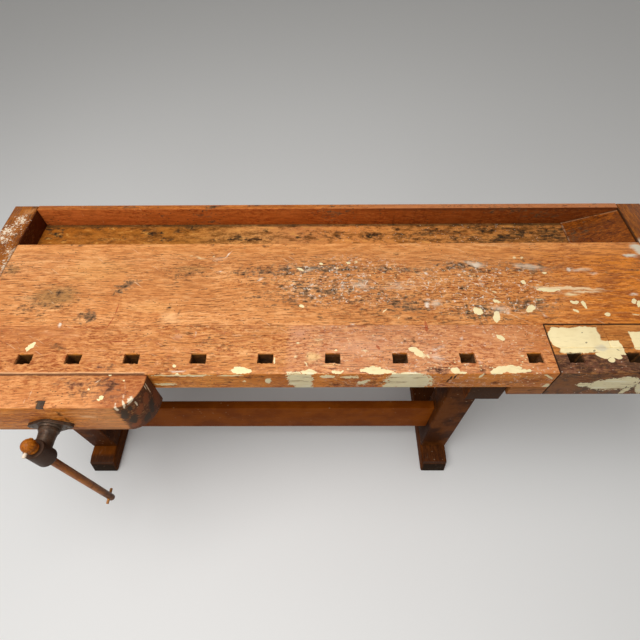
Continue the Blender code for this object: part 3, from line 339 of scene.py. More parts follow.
STAIN_SLAB = (
    (-962, 120, 25, 14, 0.5, 15), (-826, 1, 42, 17, 0.4), (-801, 216, 15, 5.6, 0.6),
    (-793, 41, 35, 15, 0.5), (-702, -36, 11, 7.5, 0.65, -15), (-691, -41, 24, 12, 0.6, -15),
    (-647, 34, 8.3, 5.2, 0.8, 75), (-625, 61, 29, 13, 0.85, 45), (-489, -7, 6.8, 3.9, 0.65),
    (-489, 71, 11, 4.2, 0.5), (-487, 6, 5.6, 4.4, 0.75, 45), (-463, -37, 8.5, 2.8, 0.55, 75),
    (-463, 107, 39, 11, 0.3), (-413, 214, 6.4, 4.4, 0.7), (-314, 101, 19, 7.2, 0.6),
    (-314, 205, 6.5, 4.6, 0.5, -75), (-292, 123, 30, 5.2, 0.6), (-259, 207, 6.4, 5.1, 0.6, -15),
    (-250, 120, 20, 12, 0.8, -15), (-200, 102, 38, 9, 0.8), (-170, 109, 16, 5.8, 0.5),
    (-154, 22, 47, 17, 0.25), (-150, -8, 19, 6.5, 0.5), (-140, 127, 25, 4.4, 0.5, 15),
    (-101, -48, 4.3, 9.9, 0.5), (-74, 62, 64, 28, 0.22), (-68, 153, 17, 5.2, 0.5, 15),
    (-49, 129, 17, 5.2, 0.7), (-27, 119, 58, 5.8, 0.65), (2, 197, 7.5, 4.3, 0.8),
    (29, 80, 8.6, 7.1, 0.5), (56, 11, 57, 29, 0.2), (107, 110, 41, 6.1, 0.5),
    (108, 172, 7.4, 4.2, 0.5), (127, -6, 39, 19, 0.42), (129, -47, 5.7, 4.9, 0.55),
    (140, 1, 18, 8.4, 0.55), (193, -41, 8.2, 5.3, 0.7), (225, -61, 16, 5.2, 0.5),
    (231, 113, 18, 5.5, 0.6), (279, 49, 8.7, 6.6, 0.5, 15), (283, 129, 34, 7.9, 0.55),
    (307, -29, 44, 23, 0.35), (325, 105, 26, 12, 0.55), (420, -7, 36, 18, 0.42),
    (438, 3, 21, 7.2, 0.6), (476, 121, 31, 11, 0.45, -15), (476, 151, 42, 4.9, 0.5),
    (478, -55, 11, 10, 0.5), (682, 100, 9.8, 4, 0.6), (765, 110, 15, 3.6, 0.8),
)
CHALK_SLAB = (
    (-758, -66, 12, 5.8, 0.8, -60), (-376, 110, 19, 4, 0.5), (-361, 178, 22, 3.1, 0.85, 60),
    (-264, 81, 21, 5.6, 0.45, 45), (-123, 63, 7.7, 7.3, 0.45), (-45, 69, 18, 2.2, 0.7, 75),
    (-40, 62, 9.1, 17, 0.5), (-18, -65, 11, 5.7, 0.45), (22, 67, 12, 2.6, 0.85, 75),
    (177, -6, 14, 9.1, 0.8, 75), (188, 104, 15, 6.2, 0.7, -30), (330, 64, 14, 11, 0.45, 15),
    (331, 133, 16, 12, 0.75, -15), (378, -32, 9.1, 6.7, 0.5, 15), (469, -41, 12, 7.2, 0.5, -45),
    (580, 115, 9.9, 8), (644, 100, 20, 7, 0.5), (720, 28, 17, 6.9, 0.5),
    (768, 164, 31, 9.9, 0.6, -15),
)
PAINT_SLAB = (
    (-466, 171, 11, 3.9, 0.45), (-439, 163, 26, 6.6, 0.5, -15), (-401, 170, 5.3, 4.4, 0.8),
    (-156, 118, 10, 4.7, 0.9, -30), (-148, -8, 9, 5.4, 0.95, -15), (-100, 140, 7.3, 5.6, 1, -30),
    (-52, 120, 6.1, 5.9, 0.7), (-23, 142, 6.7, 5.2, 0.95), (2, 145, 8, 7.1, 0.6),
    (68, -23, 15, 2.8, 0.85, 45), (99, -49, 9.3, 3, 0.75, 45), (302, -26, 14, 12),
    (347, -43, 17, 8.6, 1, 75), (359, 6, 10, 5.2, 0.95, -30), (359, 35, 9, 3.9, 0.85, -30),
    (440, -20, 15, 11, 1, 45), (443, 162, 6.6, 4.9, 0.7, 60), (445, 69, 8.4, 5.3, 0.95, -60),
    (465, 160, 6.9, 5.3, 0.7, 45), (472, 11, 22, 3, 0.55), (481, 62, 6.8, 3.7, 0.75, -15),
    (503, 44, 35, 6.6, 0.95), (513, 105, 7.1, 4.8, 0.95, 15), (552, -26, 8.7, 6, 1, -30),
    (560, 2, 13, 6.1), (560, 27, 32, 8.3, 0.6), (564, 53, 7.3, 4.3, 0.6, 15), (581, -7, 5.1, 13),
    (627, -37, 7.1, 6.1), (700, -38, 11, 3.7, 0.85), (711, 4, 9.8, 6.6, 0.95, 30),
    (721, -5, 15, 5.2, 0.95, 60),
)
WHITE_SLAB = ((803, 190, 24, 40, 1, 20), (770, 168, 34, 9, 0.7))
SMEARS_SLAB = (
    (327, 136, 40, 14, 0.9, -20), (476, 124, 60, 16, 0.8, -10), (610, 115, 55, 10, 0.7),
    (360, -20, 35, 22, 0.7), (6, 62, 50, 32, 0.45), (-130, 118, 45, 14, 0.5, 20),
    (110, 60, 75, 26, 0.4), (-390, 160, 40, 10, 0.4), (200, 0, 25, 20, 0.7),
)
STREAK_SLAB = ((560, 48, 130, 7, 1, -3), (600, 36, 60, 6, 0.9))
RED_SLAB = ((-631, -60, 23, 1.7, 0.6, 75), (-625, -16, 1.7, 20, 0.6), (164, -72, 4.6, 18, 0.6))
SEAM_SLAB = ((20, -67.5, 620, 1.2),)

# On the rail with the dog holes, its top and then its front
BLUSH_RAIL = (
    (-745, -96, 150, 40, 0.25), (-451, -103, 18, 15, 0.5), (-150, -95, 37, 35, 0.55),
    (-4, -130, 174, 47, 0.5), (168, -147, 39, 32, 0.6), (283, -142, 72, 38, 0.35),
)
HONEY_RAIL = ((-118, -161, 24, 20, 0.85), (-106, -118, 20, 17, 0.4), (-77, -183, 28, 4.3, 0.6))
STAIN_RAIL = (
    (-741, -128, 17, 9.1, 0.65, -30), (-598, -188, 9.6, 5.2, 0.7), (-380, -117, 15, 6.5, 0.5, 75),
    (-327, -128, 22, 5.7, 0.5), (105, -116, 6.5, 5.5), (128, -117, 7.3, 5.2, 0.6, 75),
    (148, -178, 3.8, 2.7, 1, 15), (204, -182, 3.1, 2.1, 1, 15), (217, -171, 3.5, 2.9),
    (281, -185, 3.9, 2.4, 1, 15), (409, -123, 7.4, 3.4, 0.5), (435, -114, 9.8, 4, 0.5),
)
PURPLE_RAIL = ((-623, -189, 14, 5.3, 0.3), (172, -199, 33, 12, 0.7), (281, -197, 18, 11, 0.8, 15))
CHALK_RAIL = (
    (-758, -66, 12, 5.8, 0.8, -60), (-433, -199, 30, 4.1, 0.55), (-409, -94, 4.6, 15, 0.45),
    (-18, -65, 11, 5.7, 0.45), (179, -164, 29, 19, 0.4), (181, -139, 27, 8, 0.5, 30),
    (248, -108, 12, 7.9, 0.65, 75), (276, -178, 6.3, 26, 0.45),
)
PAINT_RAIL = (
    (-806, -130, 17, 6.7, 1, 60), (-444, -184, 5.1, 4.2), (-291, -192, 14, 6.3),
    (-285, -198, 28, 7.1), (-209, -170, 2.2, 9.3, 0.95), (-158, -160, 8.4, 6.3, 0.6, 60),
    (-155, -121, 5.4, 4.5, 0.85), (-134, -179, 11, 2.8, 0.8, -60), (-127, -200, 20, 6.3),
    (-101, -111, 20, 2, 0.6), (-62, -143, 4.3, 3.9, 0.95), (-61, -201, 16, 5),
    (-35, -193, 4.5, 4.2, 0.8), (7, -143, 15, 3.9, 0.7), (25, -192, 21, 7.1), (30, -199, 43, 8.3),
    (123, -140, 13, 7.6), (136, -150, 14, 9.6, 1, -45), (146, -159, 11, 9.2, 0.75),
    (156, -160, 10, 6.3, 0.8, -75), (214, -197, 13, 10, 1, -15), (229, -203, 13, 4.2),
    (319, -197, 27, 9.1, 1, 15), (342, -107, 13, 8.4, 1, -45), (349, -194, 25, 10),
    (375, -201, 17, 4.5), (380, -158, 8.6, 4.1, 0.7), (445, -200, 8.1, 2.6, 0.6),
)
RED_RAIL = (
    (-631, -60, 23, 1.7, 0.6, 75), (-598, -116, 57, 1.8, 0.5), (39, -133, 8.9, 3.6, 0.6, -60),
    (164, -72, 4.6, 18, 0.6),
)
FACE_STAIN = (
    (-479, 782, 28, 7.9, 0.5), (-316, 751, 7.3, 5.1, 0.4, 15), (-254, 771, 24, 5, 0.3),
    (-53, 729, 22, 6.4, 0.4), (36, 739, 16, 14, 0.6), (54, 747, 19, 16, 0.75),
    (332, 738, 15, 6.2, 0.3), (374, 753, 13, 9.2, 0.4, 75), (414, 748, 12, 5.1, 0.35),
)
FACE_BLOCKS = ((-149, 758, 31, 32), (-143, 725, 24, 30))
FACE_GREEN = (
    (-225, 751, 13, 8.8, 0.8, 75), (4, 744, 21, 9.5, 0.5, 30), (75, 734, 34, 18, 0.8, 60),
    (111, 749, 63, 47, 1, -15),
)
FACE_PAINT = (
    (-475, 734, 29, 6.5, 0.7), (-424, 779, 75, 4.5, 0.9), (-307, 778, 33, 3.5, 0.8),
    (-280, 751, 6.9, 5.1, 0.4, 75), (-147, 782, 33, 2.9, 0.7), (-85, 772, 19, 8, 0.6),
    (-30, 770, 26, 7, 0.5), (276, 774, 12, 4, 0.7, 75), (437, 768, 21, 3.4, 0.9, -45),
    (448, 719, 7.8, 18, 0.9),
)
FACE_CUTS = ((206, 759, 18, 3.2, 1, 75), (218, 769, 15, 2.9, 1, 75))

# On the end caps, the tray's back rail, its floor and its ramp
CAP_WORN = (
    (-1030, 242, 29, 19, 0.9, -30), (-1029, 275, 34, 28, 0.95), (-1010, 323, 21, 33, 0.95),
    (-1000, 362, 25, 18, 0.9, 30), (-991, 189, 29, 18, 0.6, -60), (-980, 143, 29, 15, 0.55, -60),
)
CAP_STAIN = (
    (-997, 254, 9, 4.1, 0.6, 75), (-993, 382, 6.8, 4.3, 0.6, -15), (-989, 341, 5.1, 6.5, 0.7),
)
WHITE_CAP = ((825, 205, 18, 45, 0.8, 20),)
BACK_STAIN = (
    (-596, 754, 13, 8.7, 0.7, 15), (-462, 762, 19, 6.1, 0.45), (-459, 733, 26, 4.2, 0.5),
    (-448, 784, 12, 3.9, 0.6), (-436, 737, 13, 5.8, 0.8), (-55, 768, 31, 16, 0.35),
    (456, 777, 62, 7.9, 0.4), (602, 760, 38, 12, 0.4),
)
BACK_TOP_STAIN = (
    (-793, 383, 16, 4.7, 0.7), (-692, 380, 16, 4.6, 0.6), (-430, 379, 16, 3.7, 0.5),
    (-297, 382, 28, 4.7, 0.7), (-70, 379, 19, 4.7, 0.5), (301, 378, 25, 3.7, 0.3),
)
TRAY_STAIN = (
    (-965, 352, 29, 9.1, 0.6), (-937, 321, 30, 17, 0.75, -15), (-822, 356, 39, 4.6, 0.4),
    (-744, 306, 44, 5.3, 0.5), (-664, 342, 11, 8.3, 0.9, -30), (-629, 328, 27, 21, 1, -30),
    (-587, 305, 25, 8.8, 0.8), (-554, 350, 13, 9, 0.7, -15), (-517, 354, 29, 12, 0.8),
    (-439, 349, 9.6, 5.5, 0.8), (-378, 313, 28, 11, 0.6), (-336, 302, 75, 8.8, 0.9),
    (-304, 299, 37, 6.1, 0.9), (-276, 339, 9.7, 8.9, 0.7), (-182, 357, 19, 6.4, 0.7),
    (-155, 316, 19, 11, 0.5), (-55, 320, 25, 13, 0.5), (29, 365, 9.6, 6.5, 0.5),
    (61, 315, 28, 18, 0.75), (76, 306, 19, 8.8, 0.7), (129, 364, 13, 6.5, 0.8),
    (143, 346, 16, 11, 0.7), (185, 305, 25, 7, 0.6), (277, 336, 38, 13, 0.45),
    (319, 305, 19, 8.7, 0.6), (381, 304, 19, 10, 0.8), (407, 354, 19, 9.1, 0.7),
    (425, 335, 26, 18, 0.9, 15), (460, 308, 28, 17, 0.8, 15), (533, 326, 38, 18, 0.75),
    (610, 343, 32, 18, 0.8), (623, 312, 28, 13, 0.7),
)
RAMP_STAIN = ((660, 300, 50, 20, 0.5, 15),)

# On the front vise's jaw
JAW_SHADE = ((-694, 728, 7, 62, 0.9), (-706, 700, 16, 22, 0.7))
JAW_RUB = ((-637, 737, 30, 9, 0.9),)
JAW_STAIN = (
    (-733, -273, 6.8, 2.4, 0.8), (-729, -288, 5.2, 2.1, 0.7, -60), (-723, -269, 4.8, 4.4, 0.8),
    (-658, -256, 16, 7.8, 0.5), (-656, -232, 19, 5.6, 0.4), (-628, -248, 23, 12, 0.35),
    (-607, -228, 19, 5.1, 0.25), (-576, -240, 13, 7.4, 0.55, -15),
)
CLOUDS_JAW = ((-662, -228, 45, 16, 0.8), (-582, -236, 22, 20), (-600, -262, 40, 12, 0.5))
JAW_SCUFF = (
    (-781, -278, 5.8, 2, 0.4, 60), (-764, -273, 1.5, 10, 0.5), (-757, -256, 1.5, 21, 0.55),
    (-613, -224, 14, 2.9, 0.55, 45), (-545, -244, 28, 1.1, 0.4, -75),
    (-544, -262, 7.8, 3.6, 0.6, -75),
)
JAW_PAINT = (
    (-629, -245, 4.2, 3.1, 0.8, -30), (-598, -269, 4.1, 3, 0.6, -30),
    (-594, -265, 5.7, 4.3, 0.8, -45), (-589, -207, 4.6, 3.4, 1, -30),
    (-553, -222, 3.1, 2.3, 0.6, -30),
)

# On the tail vise
TAIL_STAIN = (
    (473, -148, 2.7, 7.4, 0.6), (547, -208, 23, 4.1, 0.5), (640, -205, 12, 5.1, 0.5),
    (651, -97, 6.8, 4.2, 0.3, 45),
)
TAIL_PAINT = ((480, -108, 22, 32), (576, -158, 22, 10), (588, -172, 10, 6), (600, -160, 14, 10))
TAIL_BLOCKS = ((530, -114, 60, 40), (605, -136, 25, 22), (690, -117, 35, 29))
TAIL_DOTS = (
    (545, -93, 3.6, 2.3, 1, 15), (546, -120, 4, 2.5, 1, 15), (557, -147, 3.5, 2.3, 1, 45),
    (613, -143, 3.7, 2.9, 1, -45), (650, -140, 3.2, 2, 1, 30),
)
TAIL_RUB = ((575, -137, 20, 16),)
TAIL_FACE = (
    (540, 729, 20, 10, 0.7), (605, 729, 64, 31), (635, 752, 31, 16, 1, -15),
    (655, 696, 24, 10, 0.8, 75), (684, 709, 40, 12, 0.8, -60),
)

# Wood knocked off the rims of dog holes: middle, reach and depth
CHIPS = ((-204, -148, 12, 5), (352, -160, 16, 5), (345, -151, 9, 4))

# Round the jaw's end: a colour, then middle, two half sizes, heading and slope in degrees
JAW_END = (
    ((0.25, 0.072, 0.022), (
        (-524, -270, 729, 21, 12, 48, 60), (-504, -220, 698, 35, 19, 88, 70),
        (-511, -248, 742, 22, 10, 68, 70), (-546, -286, 682, 22, 12, 23, 45),
    )),
    (SOOT, (
        (-550, -288, 741, 32, 11, 18, 73), (-542, -284, 708, 24, 11, 27, 65),
        (-510, -247, 700, 31, 10, 69, 70), (-522, -267, 681, 21, 10, 51, 60),
        (-534, -279, 760, 13, 6, 36, 83),
    )),
    ((0.9, 0.74, 0.52), (
        (-526, -272, 782, 11, 5, 46, 22), (-539, -282, 781, 14, 3, 31, 75),
        (-556, -289, 778, 15, 4, 11, 86), (-505, -228, 758, 23, 2, 82, 86),
        (-506, -233, 773, 13, 1.5, 79, 86), (-522, -268, 760, 13, 2, 51, 87),
    )),
)


class Wood(Finish):
    """Old bare wood: bands and fibres along the grain, short dark pores, uneven tone."""

    def __init__(self, name, tones, along="x", shift=(0, 0, 0), rough=0.5, dashes=0.75,
                 streaks=0.55, shine=0.15):
        super().__init__(name, shine=shine)
        light, middle, dark = tones
        self.along = "xyz".index(along)
        place = self.placed(shift)
        sway = (self.cloud(place, 2.6, 2) - 0.5) * 0.05
        bend = self.node("CombineXYZ", None, {1 if along == "x" else 0: sway})
        self.laid = self.vector("ADD", place, bend)
        bands = self.laid_grain(0.09, 26, 4, 0.6)
        self.figure = self.laid_grain(0.18, 110, 5, 0.72)
        fibre = self.laid_grain(0.07, 380, 3, 0.7)
        self.patches = self.cloud(place, 9, 4, 0.6)
        flecks = self.laid_grain(0.7, 190, 5, 0.8)
        tone = bands * 0.2 + self.figure * 0.32 + fibre * 0.2 + self.patches * 0.13 + flecks * 0.15
        self.colour = self.ramp(tone, (0.405, dark), (0.5, middle), (0.59, light))
        self.rough = rough + (self.figure - 0.5) * 0.3
        self.height = fibre * 0.00022 + bands * 0.0003
        warm = times(middle, (0.86, 0.66, 0.5))
        self.coat(self.cloud(place, 17).between(0.48, 0.72) * 0.25, warm)
        short = self.laid_grain(0.14, 210, 3, 0.6)
        thick = self.cloud(place, 13) * 0.14
        self.coat((short + thick).between(0.585, 0.67) * streaks, dark)
        pale = self.laid_grain(0.12, 170, 3, 0.6)
        self.coat((pale - thick).between(0.47, 0.6) * streaks * 0.6, light)
        crowd = self.cloud(place, 6, 2) * 0.16
        pores = self.laid_grain(0.085, 420, 2)
        deep = times(dark, (0.28, 0.28, 0.28))
        self.coat((pores + crowd).between(0.69, 0.76) * dashes, deep, 0.7, -0.0004)

    def grain(self, stretch, scale, detail=3, rough=0.55, shift=(0, 0, 0), point=None):
        """A cloud drawn out along the grain."""
        size = tuple(stretch if axis == self.along else 1 for axis in range(3))
        return self.cloud(self.placed(shift, size=size, point=point), scale, detail, rough)

    def laid_grain(self, *look):
        """The same where the grain itself sways."""
        return self.grain(*look, point=self.laid)

    def grained(self, share, dark, light):
        """A stain that leaves the grain to be seen, between a dark and a light tone."""
        self.coat(share, self.blend(self.figure.between(0.4, 0.6), dark, light))

    def gritty(self, share, glow=0.45, light=(0.98, 0.46, 0.15)):
        """Fine dirt in the pores and bright raised fibres, over all that stains the wood."""
        grit = self.laid_grain(0.3, 210, 4, 0.75)
        spread = self.grain(0.5, 16, 4, 0.6, (0, 2, 0))
        crowd = (spread.between(0.42, 0.6) * 0.85 + 0.15) * share
        dirty = grit.between(0.49, 0.41) * crowd
        self.colour = self.blend(dirty, self.colour, (0.56, 0.36, 0.24), "MULTIPLY")
        self.coat(grit.between(0.53, 0.61) * crowd * glow, light)

    def depth(self, marks, where):
        """How deep a point lies in marks, which are a table's rows or already a depth."""
        return marks if isinstance(marks, Level) else self.inside(marks, **where)

    def stained_and_shaded(self, marks, colour=DIRT, share=0.85, **where):
        """Dirt rubbed into the grain, and for JAW_SHADE a painted shadow: solid in the middle and
        streaky at the rim.
        """
        streaks = self.grain(0.25, 170, 4)
        dots = self.cloud(self.place, 70, 4, 0.65)
        wide = (self.depth(marks, where) + 0.6) / 1.6
        amount = wide * 1.5 + (streaks - 0.5) * 3 + (dots - 0.5) * 4
        self.coat(amount.between(0.35, 1.45) * share, colour, 0.65)
        deep = times(colour, (0.38, 0.3, 0.24))
        self.coat((amount - 1.25).between(0, 0.35) * share, deep, 0.7)

    def painted(self, marks, colour=CREAM, share=1, ragged=0.7, **where):
        """A film of old paint with a broken edge, a little proud of the wood."""
        chips = self.cloud(self.place, 140, 3, 0.6)
        tint = self.cloud(self.place, 40)
        depth = self.depth(marks, where)
        edge = (depth - 0.07 + (chips - 0.5) * ragged).between(-0.02, 0.05) * share
        film = self.blend(tint.between(0.35, 0.75), colour, times(colour, (0.95, 0.93, 0.9)))
        self.coat(edge, film, 0.42, 0.00035)

    def rubbed(self, marks, colour, share, **where):
        """A thin veil of colour, worn through in places."""
        wear_and_highlight = self.grain(0.3, 70, 4, 0.65)
        amount = (self.depth(marks, where) * 1.4 + (wear_and_highlight - 0.5) * 1.5).between(0.1, 0.95)
        self.coat(amount * share, colour)

    def splashed(self, marks):
        """Splashes of cream paint: the strong ones are thick, the weak ones are worn to a veil."""
        faint = [len(row) > 4 and row[4] < FAINT for row in marks]
        self.rubbed([row for row, thin in zip(marks, faint) if thin], CREAM, 0.8)
        self.painted([row for row, thin in zip(marks, faint) if not thin])

    def weathered(self, depth, colour=GREY_GREEN):
        """Old paint on an upright face, with the grain showing through."""
        self.painted(depth, colour, 0.92, 1.1)
        streaks = self.grain(0.14, 120, 4, 0.65)
        within = depth.between(-0.1, 0.2)
        self.coat(streaks.between(0.54, 0.66) * within * 0.75, (0.33, 0.17, 0.06))
        self.coat(streaks.between(0.42, 0.34) * within * 0.6, (0.96, 0.9, 0.7))

    def scratches(self, colour, turn, share, where=1, shift=0):
        """Short straight cuts that lie at one angle."""
        place = self.placed((shift, shift, 0), (0, 0, math.radians(turn)))
        lines = self.cloud(self.placed(size=(0.05, 1, 0.1), point=place), 260, 1)
        spread = self.cloud(place, 11, 2).between(0.5, 0.62)
        self.coat(lines.between(0.7, 0.76) * spread * share * where, colour, None, -0.0002)

    def scribbles(self, colour, share, where, scale, width, shift):
        """Fine curling scrape marks."""
        place = self.placed((shift, shift, shift), size=(0.8, 1, 1))
        field = self.cloud(place, scale, 3, 0.6)
        line = 1 - self.math("ABSOLUTE", field - 0.5).between(0, width)
        broken = self.cloud(place, scale * 2.6, 2).between(0.47, 0.58)
        self.coat(line * broken * where * share, colour)

    def shaded_holes(self):
        """Painted shade on the walls of the dog holes, deepening below the rim."""
        beside = self.math("ABSOLUTE", self.y - DOG_LINE)
        within = beside.between(DOG_WIDTH / 2 + 0.006, DOG_WIDTH / 2 + 0.004)
        below = self.z.between(TOP - 0.0015, TOP - 0.008)
        mottle = self.cloud(self.place, 80)
        self.coat(within * below * (mottle * 0.6 + 0.52), (0.036, 0.018, 0.006), 0.8)

    def round_end(self, rows):
        """Marks round a curved end."""
        for colour, spots in rows:
            nearest = None
            for *sizes, heading, slope in spots:
                x, y, z, long, wide = (value * MILLIMETRE for value in sizes)
                turn = (0, -math.radians(slope), math.radians(heading))
                local = self.placed((x, y, z), turn, (long, 0.012, wide), kind="TEXTURE")
                far = self.vector("LENGTH", local, outlet="Value")
                nearest = nearest.least(far) if nearest else far
            chips = self.cloud(self.place, 150)
            self.coat((1 - nearest + (chips - 0.5) * 1.6).between(-0.05, 0.35), colour)


def slab_finish():
    made = Wood("slab_wood", LIGHT_WOOD, shift=(0.3, 0.1, 0), dashes=0.95, streaks=0.75)
    made.loose = made.wandering(0.016, 45)
    right, far = made.x, made.y
    made.grained(right.between(0.15, 0.85) * 0.88, (0.38, 0.086, 0.001), (0.84, 0.25, 0.012))
    made.rubbed(made.area(YELLOW_SLAB), (0.86, 0.43, 0.13), 0.22)
    ruddy = made.grain(0.6, 80, 5, 0.75, (4, 0, 0))
    near = far.between(0.06, -0.06) * right.between(-0.35, -0.6)
    made.coat(ruddy.between(0.52, 0.66) * near * 0.5, (0.52, 0.17, 0.055))
    made.grained(far.between(0.15, 0.215) * 0.6, (0.7, 0.24, 0.05), (1, 0.43, 0.13))
    made.rubbed(made.area(PALE_SLAB), (0.95, 0.52, 0.23), 0.75)
    made.rubbed(made.area(BLUSH_SLAB), (0.74, 0.37, 0.2), 0.6)
    worked = made.area(WORKED_SLAB).between(0, 0.45)
    made.rubbed(OLIVE_SLAB, (0.37, 0.185, 0.058), 0.75, thick=0.03)
    made.stained_and_shaded(CLOUDS_SLAB, (0.2, 0.125, 0.072), 0.8)
    made.scratches((0.3, 0.13, 0.05), 2, 0.5, shift=0.4)
    made.scratches(PALE_CUT, 38, 0.5, shift=1.3)
    made.scratches((0.34, 0.14, 0.05), -48, 0.45, shift=2.1)
    made.stained_and_shaded(STAIN_SLAB)
    made.scribbles(SOOT, 0.75, worked, 46, 0.03, 3)
    made.scribbles(CHALK, 0.9, worked, 44, 0.024, 5)
    made.specks(SOOT, 120, 0.2, 0.8, shift=4)
    made.rubbed(CHALK_SLAB, CHALK, 0.85)
    made.gritty(worked * 0.3 + right.between(-0.9, 0.3) * 0.3 + 0.4)
    made.specks(CREAM, 110, 0.2, 0.9, worked * 0.8 + 0.1, 7)
    made.splashed(PAINT_SLAB)
    made.rubbed(WHITE_SLAB, WHITE_SPILL, 0.9)
    made.rubbed(SMEARS_SLAB, (0.84, 0.66, 0.48), 0.62)
    made.rubbed(STREAK_SLAB, (0.98, 0.72, 0.42), 0.8)
    made.painted(RED_SLAB, RED_PENCIL, 0.7, point=made.place)
    seam = made.inside(SEAM_SLAB, made.place, thick=0.01)
    broken = made.patches.between(0.42, 0.58) * 0.35
    made.coat(seam.between(0, 0.3) * broken, (0.16, 0.06, 0.025))
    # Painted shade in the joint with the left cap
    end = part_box("left_end_cap")[1].x
    made.coat(right.between(end + 0.005, end + 0.002) * 0.75, (0.07, 0.03, 0.012), 0.8)
    # Painted shadow of the gap on the slab's front edge beside the tail vise
    edge = far.between(SLAB_FRONT + 0.003, SLAB_FRONT + 0.0015)
    made.coat(edge * right.between(SEAM_X - 0.002, SEAM_X) * 0.95, GAP_SHADOW, 0.8)
    return made.done()


def rail_finish():
    made = Wood("rail_wood", LIGHT_WOOD, shift=(1.7, 0.9, 0.3), dashes=0.95, streaks=0.75)
    made.loose = made.wandering(0.012, 60)
    right = made.x
    front = made.side(1).between(0.55, 0.85)
    made.rubbed(made.area(BLUSH_RAIL), (0.74, 0.36, 0.2), 0.7)
    made.coat(right.between(-0.19, -0.17) * right.between(0.5, 0.34) * 0.22, (0.8, 0.42, 0.3))
    made.grained(right.between(-0.45, -0.9) * 0.5, (0.34, 0.095, 0.025), (0.72, 0.26, 0.08))
    ruddy = made.grain(0.5, 75, 5, 0.75, (4, 0, 0))
    made.coat(ruddy.between(0.5, 0.64) * 0.55, (0.5, 0.145, 0.045))
    made.coat(ruddy.between(0.43, 0.32) * 0.6, (0.95, 0.5, 0.24))
    made.coat(right.between(0.38, 0.46) * 0.35, (0.6, 0.2, 0.06))
    orange = made.blend(made.patches.between(0.35, 0.65), (0.42, 0.1, 0.002), (0.76, 0.24, 0.018))
    made.coat(front * 0.88, orange)
    made.grained(front * right.between(-0.15, -0.4) * 0.6, (0.56, 0.16, 0.015), (1, 0.4, 0.08))
    lines = made.grain(0.12, 120, 4, 0.65, (0, 0, 2))
    made.coat(lines.between(0.55, 0.68) * front * 0.6, (0.2, 0.05, 0.004))
    made.coat(lines.between(0.44, 0.34) * front * 0.5, (0.9, 0.42, 0.1))
    made.scratches(PALE_CUT, 30, 0.5, shift=3.3)
    made.scratches((0.36, 0.13, 0.06), -40, 0.5, shift=6.1)
    made.scribbles((0.4, 0.15, 0.08), 0.6, right.between(-0.9, -0.5), 36, 0.022, 8)
    made.scribbles(CHALK, 0.55, right.between(-0.25, 0.1), 34, 0.016, 9)
    made.rubbed(HONEY_RAIL, (0.93, 0.6, 0.27), 0.85)
    made.stained_and_shaded(STAIN_RAIL)
    made.stained_and_shaded(PURPLE_RAIL, (0.14, 0.065, 0.045))
    made.specks(SOOT, 120, 0.2, 0.8, shift=2)
    made.rubbed(CHALK_RAIL, CHALK, 0.85)
    made.coat((1 - front) * right.between(-0.4, -0.7) * 0.16, (0.4, 0.105, 0.02))
    made.coat((1 - front) * right.between(0.15, 0.3) * 0.16, (0.72, 0.19, 0.02))
    made.gritty(0.95)
    made.specks(CREAM, 110, 0.2, 0.9, right.between(-0.3, 0.2), 11)
    made.splashed(PAINT_RAIL)
    made.painted(RED_RAIL, RED_PENCIL, 0.7, point=made.place)
    made.shaded_holes()
    jaw_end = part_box("front_vise_jaw")[1].x
    jaw_side = right.between(jaw_end - 0.00065, jaw_end - 0.01065)
    # A painted highlight along the rail's front arris behind the jaw: a pale band with an uneven
    # edge
    arris = made.y + (made.patches - 0.5) * 0.004
    wear_and_highlight = arris.between(RAIL_FRONT + 0.008, RAIL_FRONT + 0.005)
    made.coat(wear_and_highlight * jaw_side * 0.55, (0.95, 0.56, 0.28))
    # Painted shade in the gap behind the jaw: the rail's front face there and the front of its top
    gap = arris.between(RAIL_FRONT + 0.004, RAIL_FRONT + 0.0025)
    made.coat(gap * 0.85 * jaw_side, GAP_SHADE, 0.8)
    # Painted shadow of the seam on the rail's right end
    made.coat(right.between(SEAM_X - 0.0025, SEAM_X - 0.001) * 0.9, GAP_SHADOW, 0.8)
    stood = made.upright(made.wandering(0.012, 60, through=1))
    face = {"point": stood, "level": RAIL_FRONT}
    made.stained_and_shaded(FACE_STAIN, (0.1, 0.025, 0.008), **face)
    blocks = made.inside(FACE_BLOCKS, square=True, **face)
    made.weathered(blocks.most(made.inside(FACE_GREEN, **face)))
    made.weathered(made.inside(FACE_PAINT, **face), CREAM)
    cuts = made.inside(FACE_CUTS, **face).between(0, 0.3)
    made.coat(cuts * 0.95, SOOT, 0.8, -0.0008)
    return made.done()


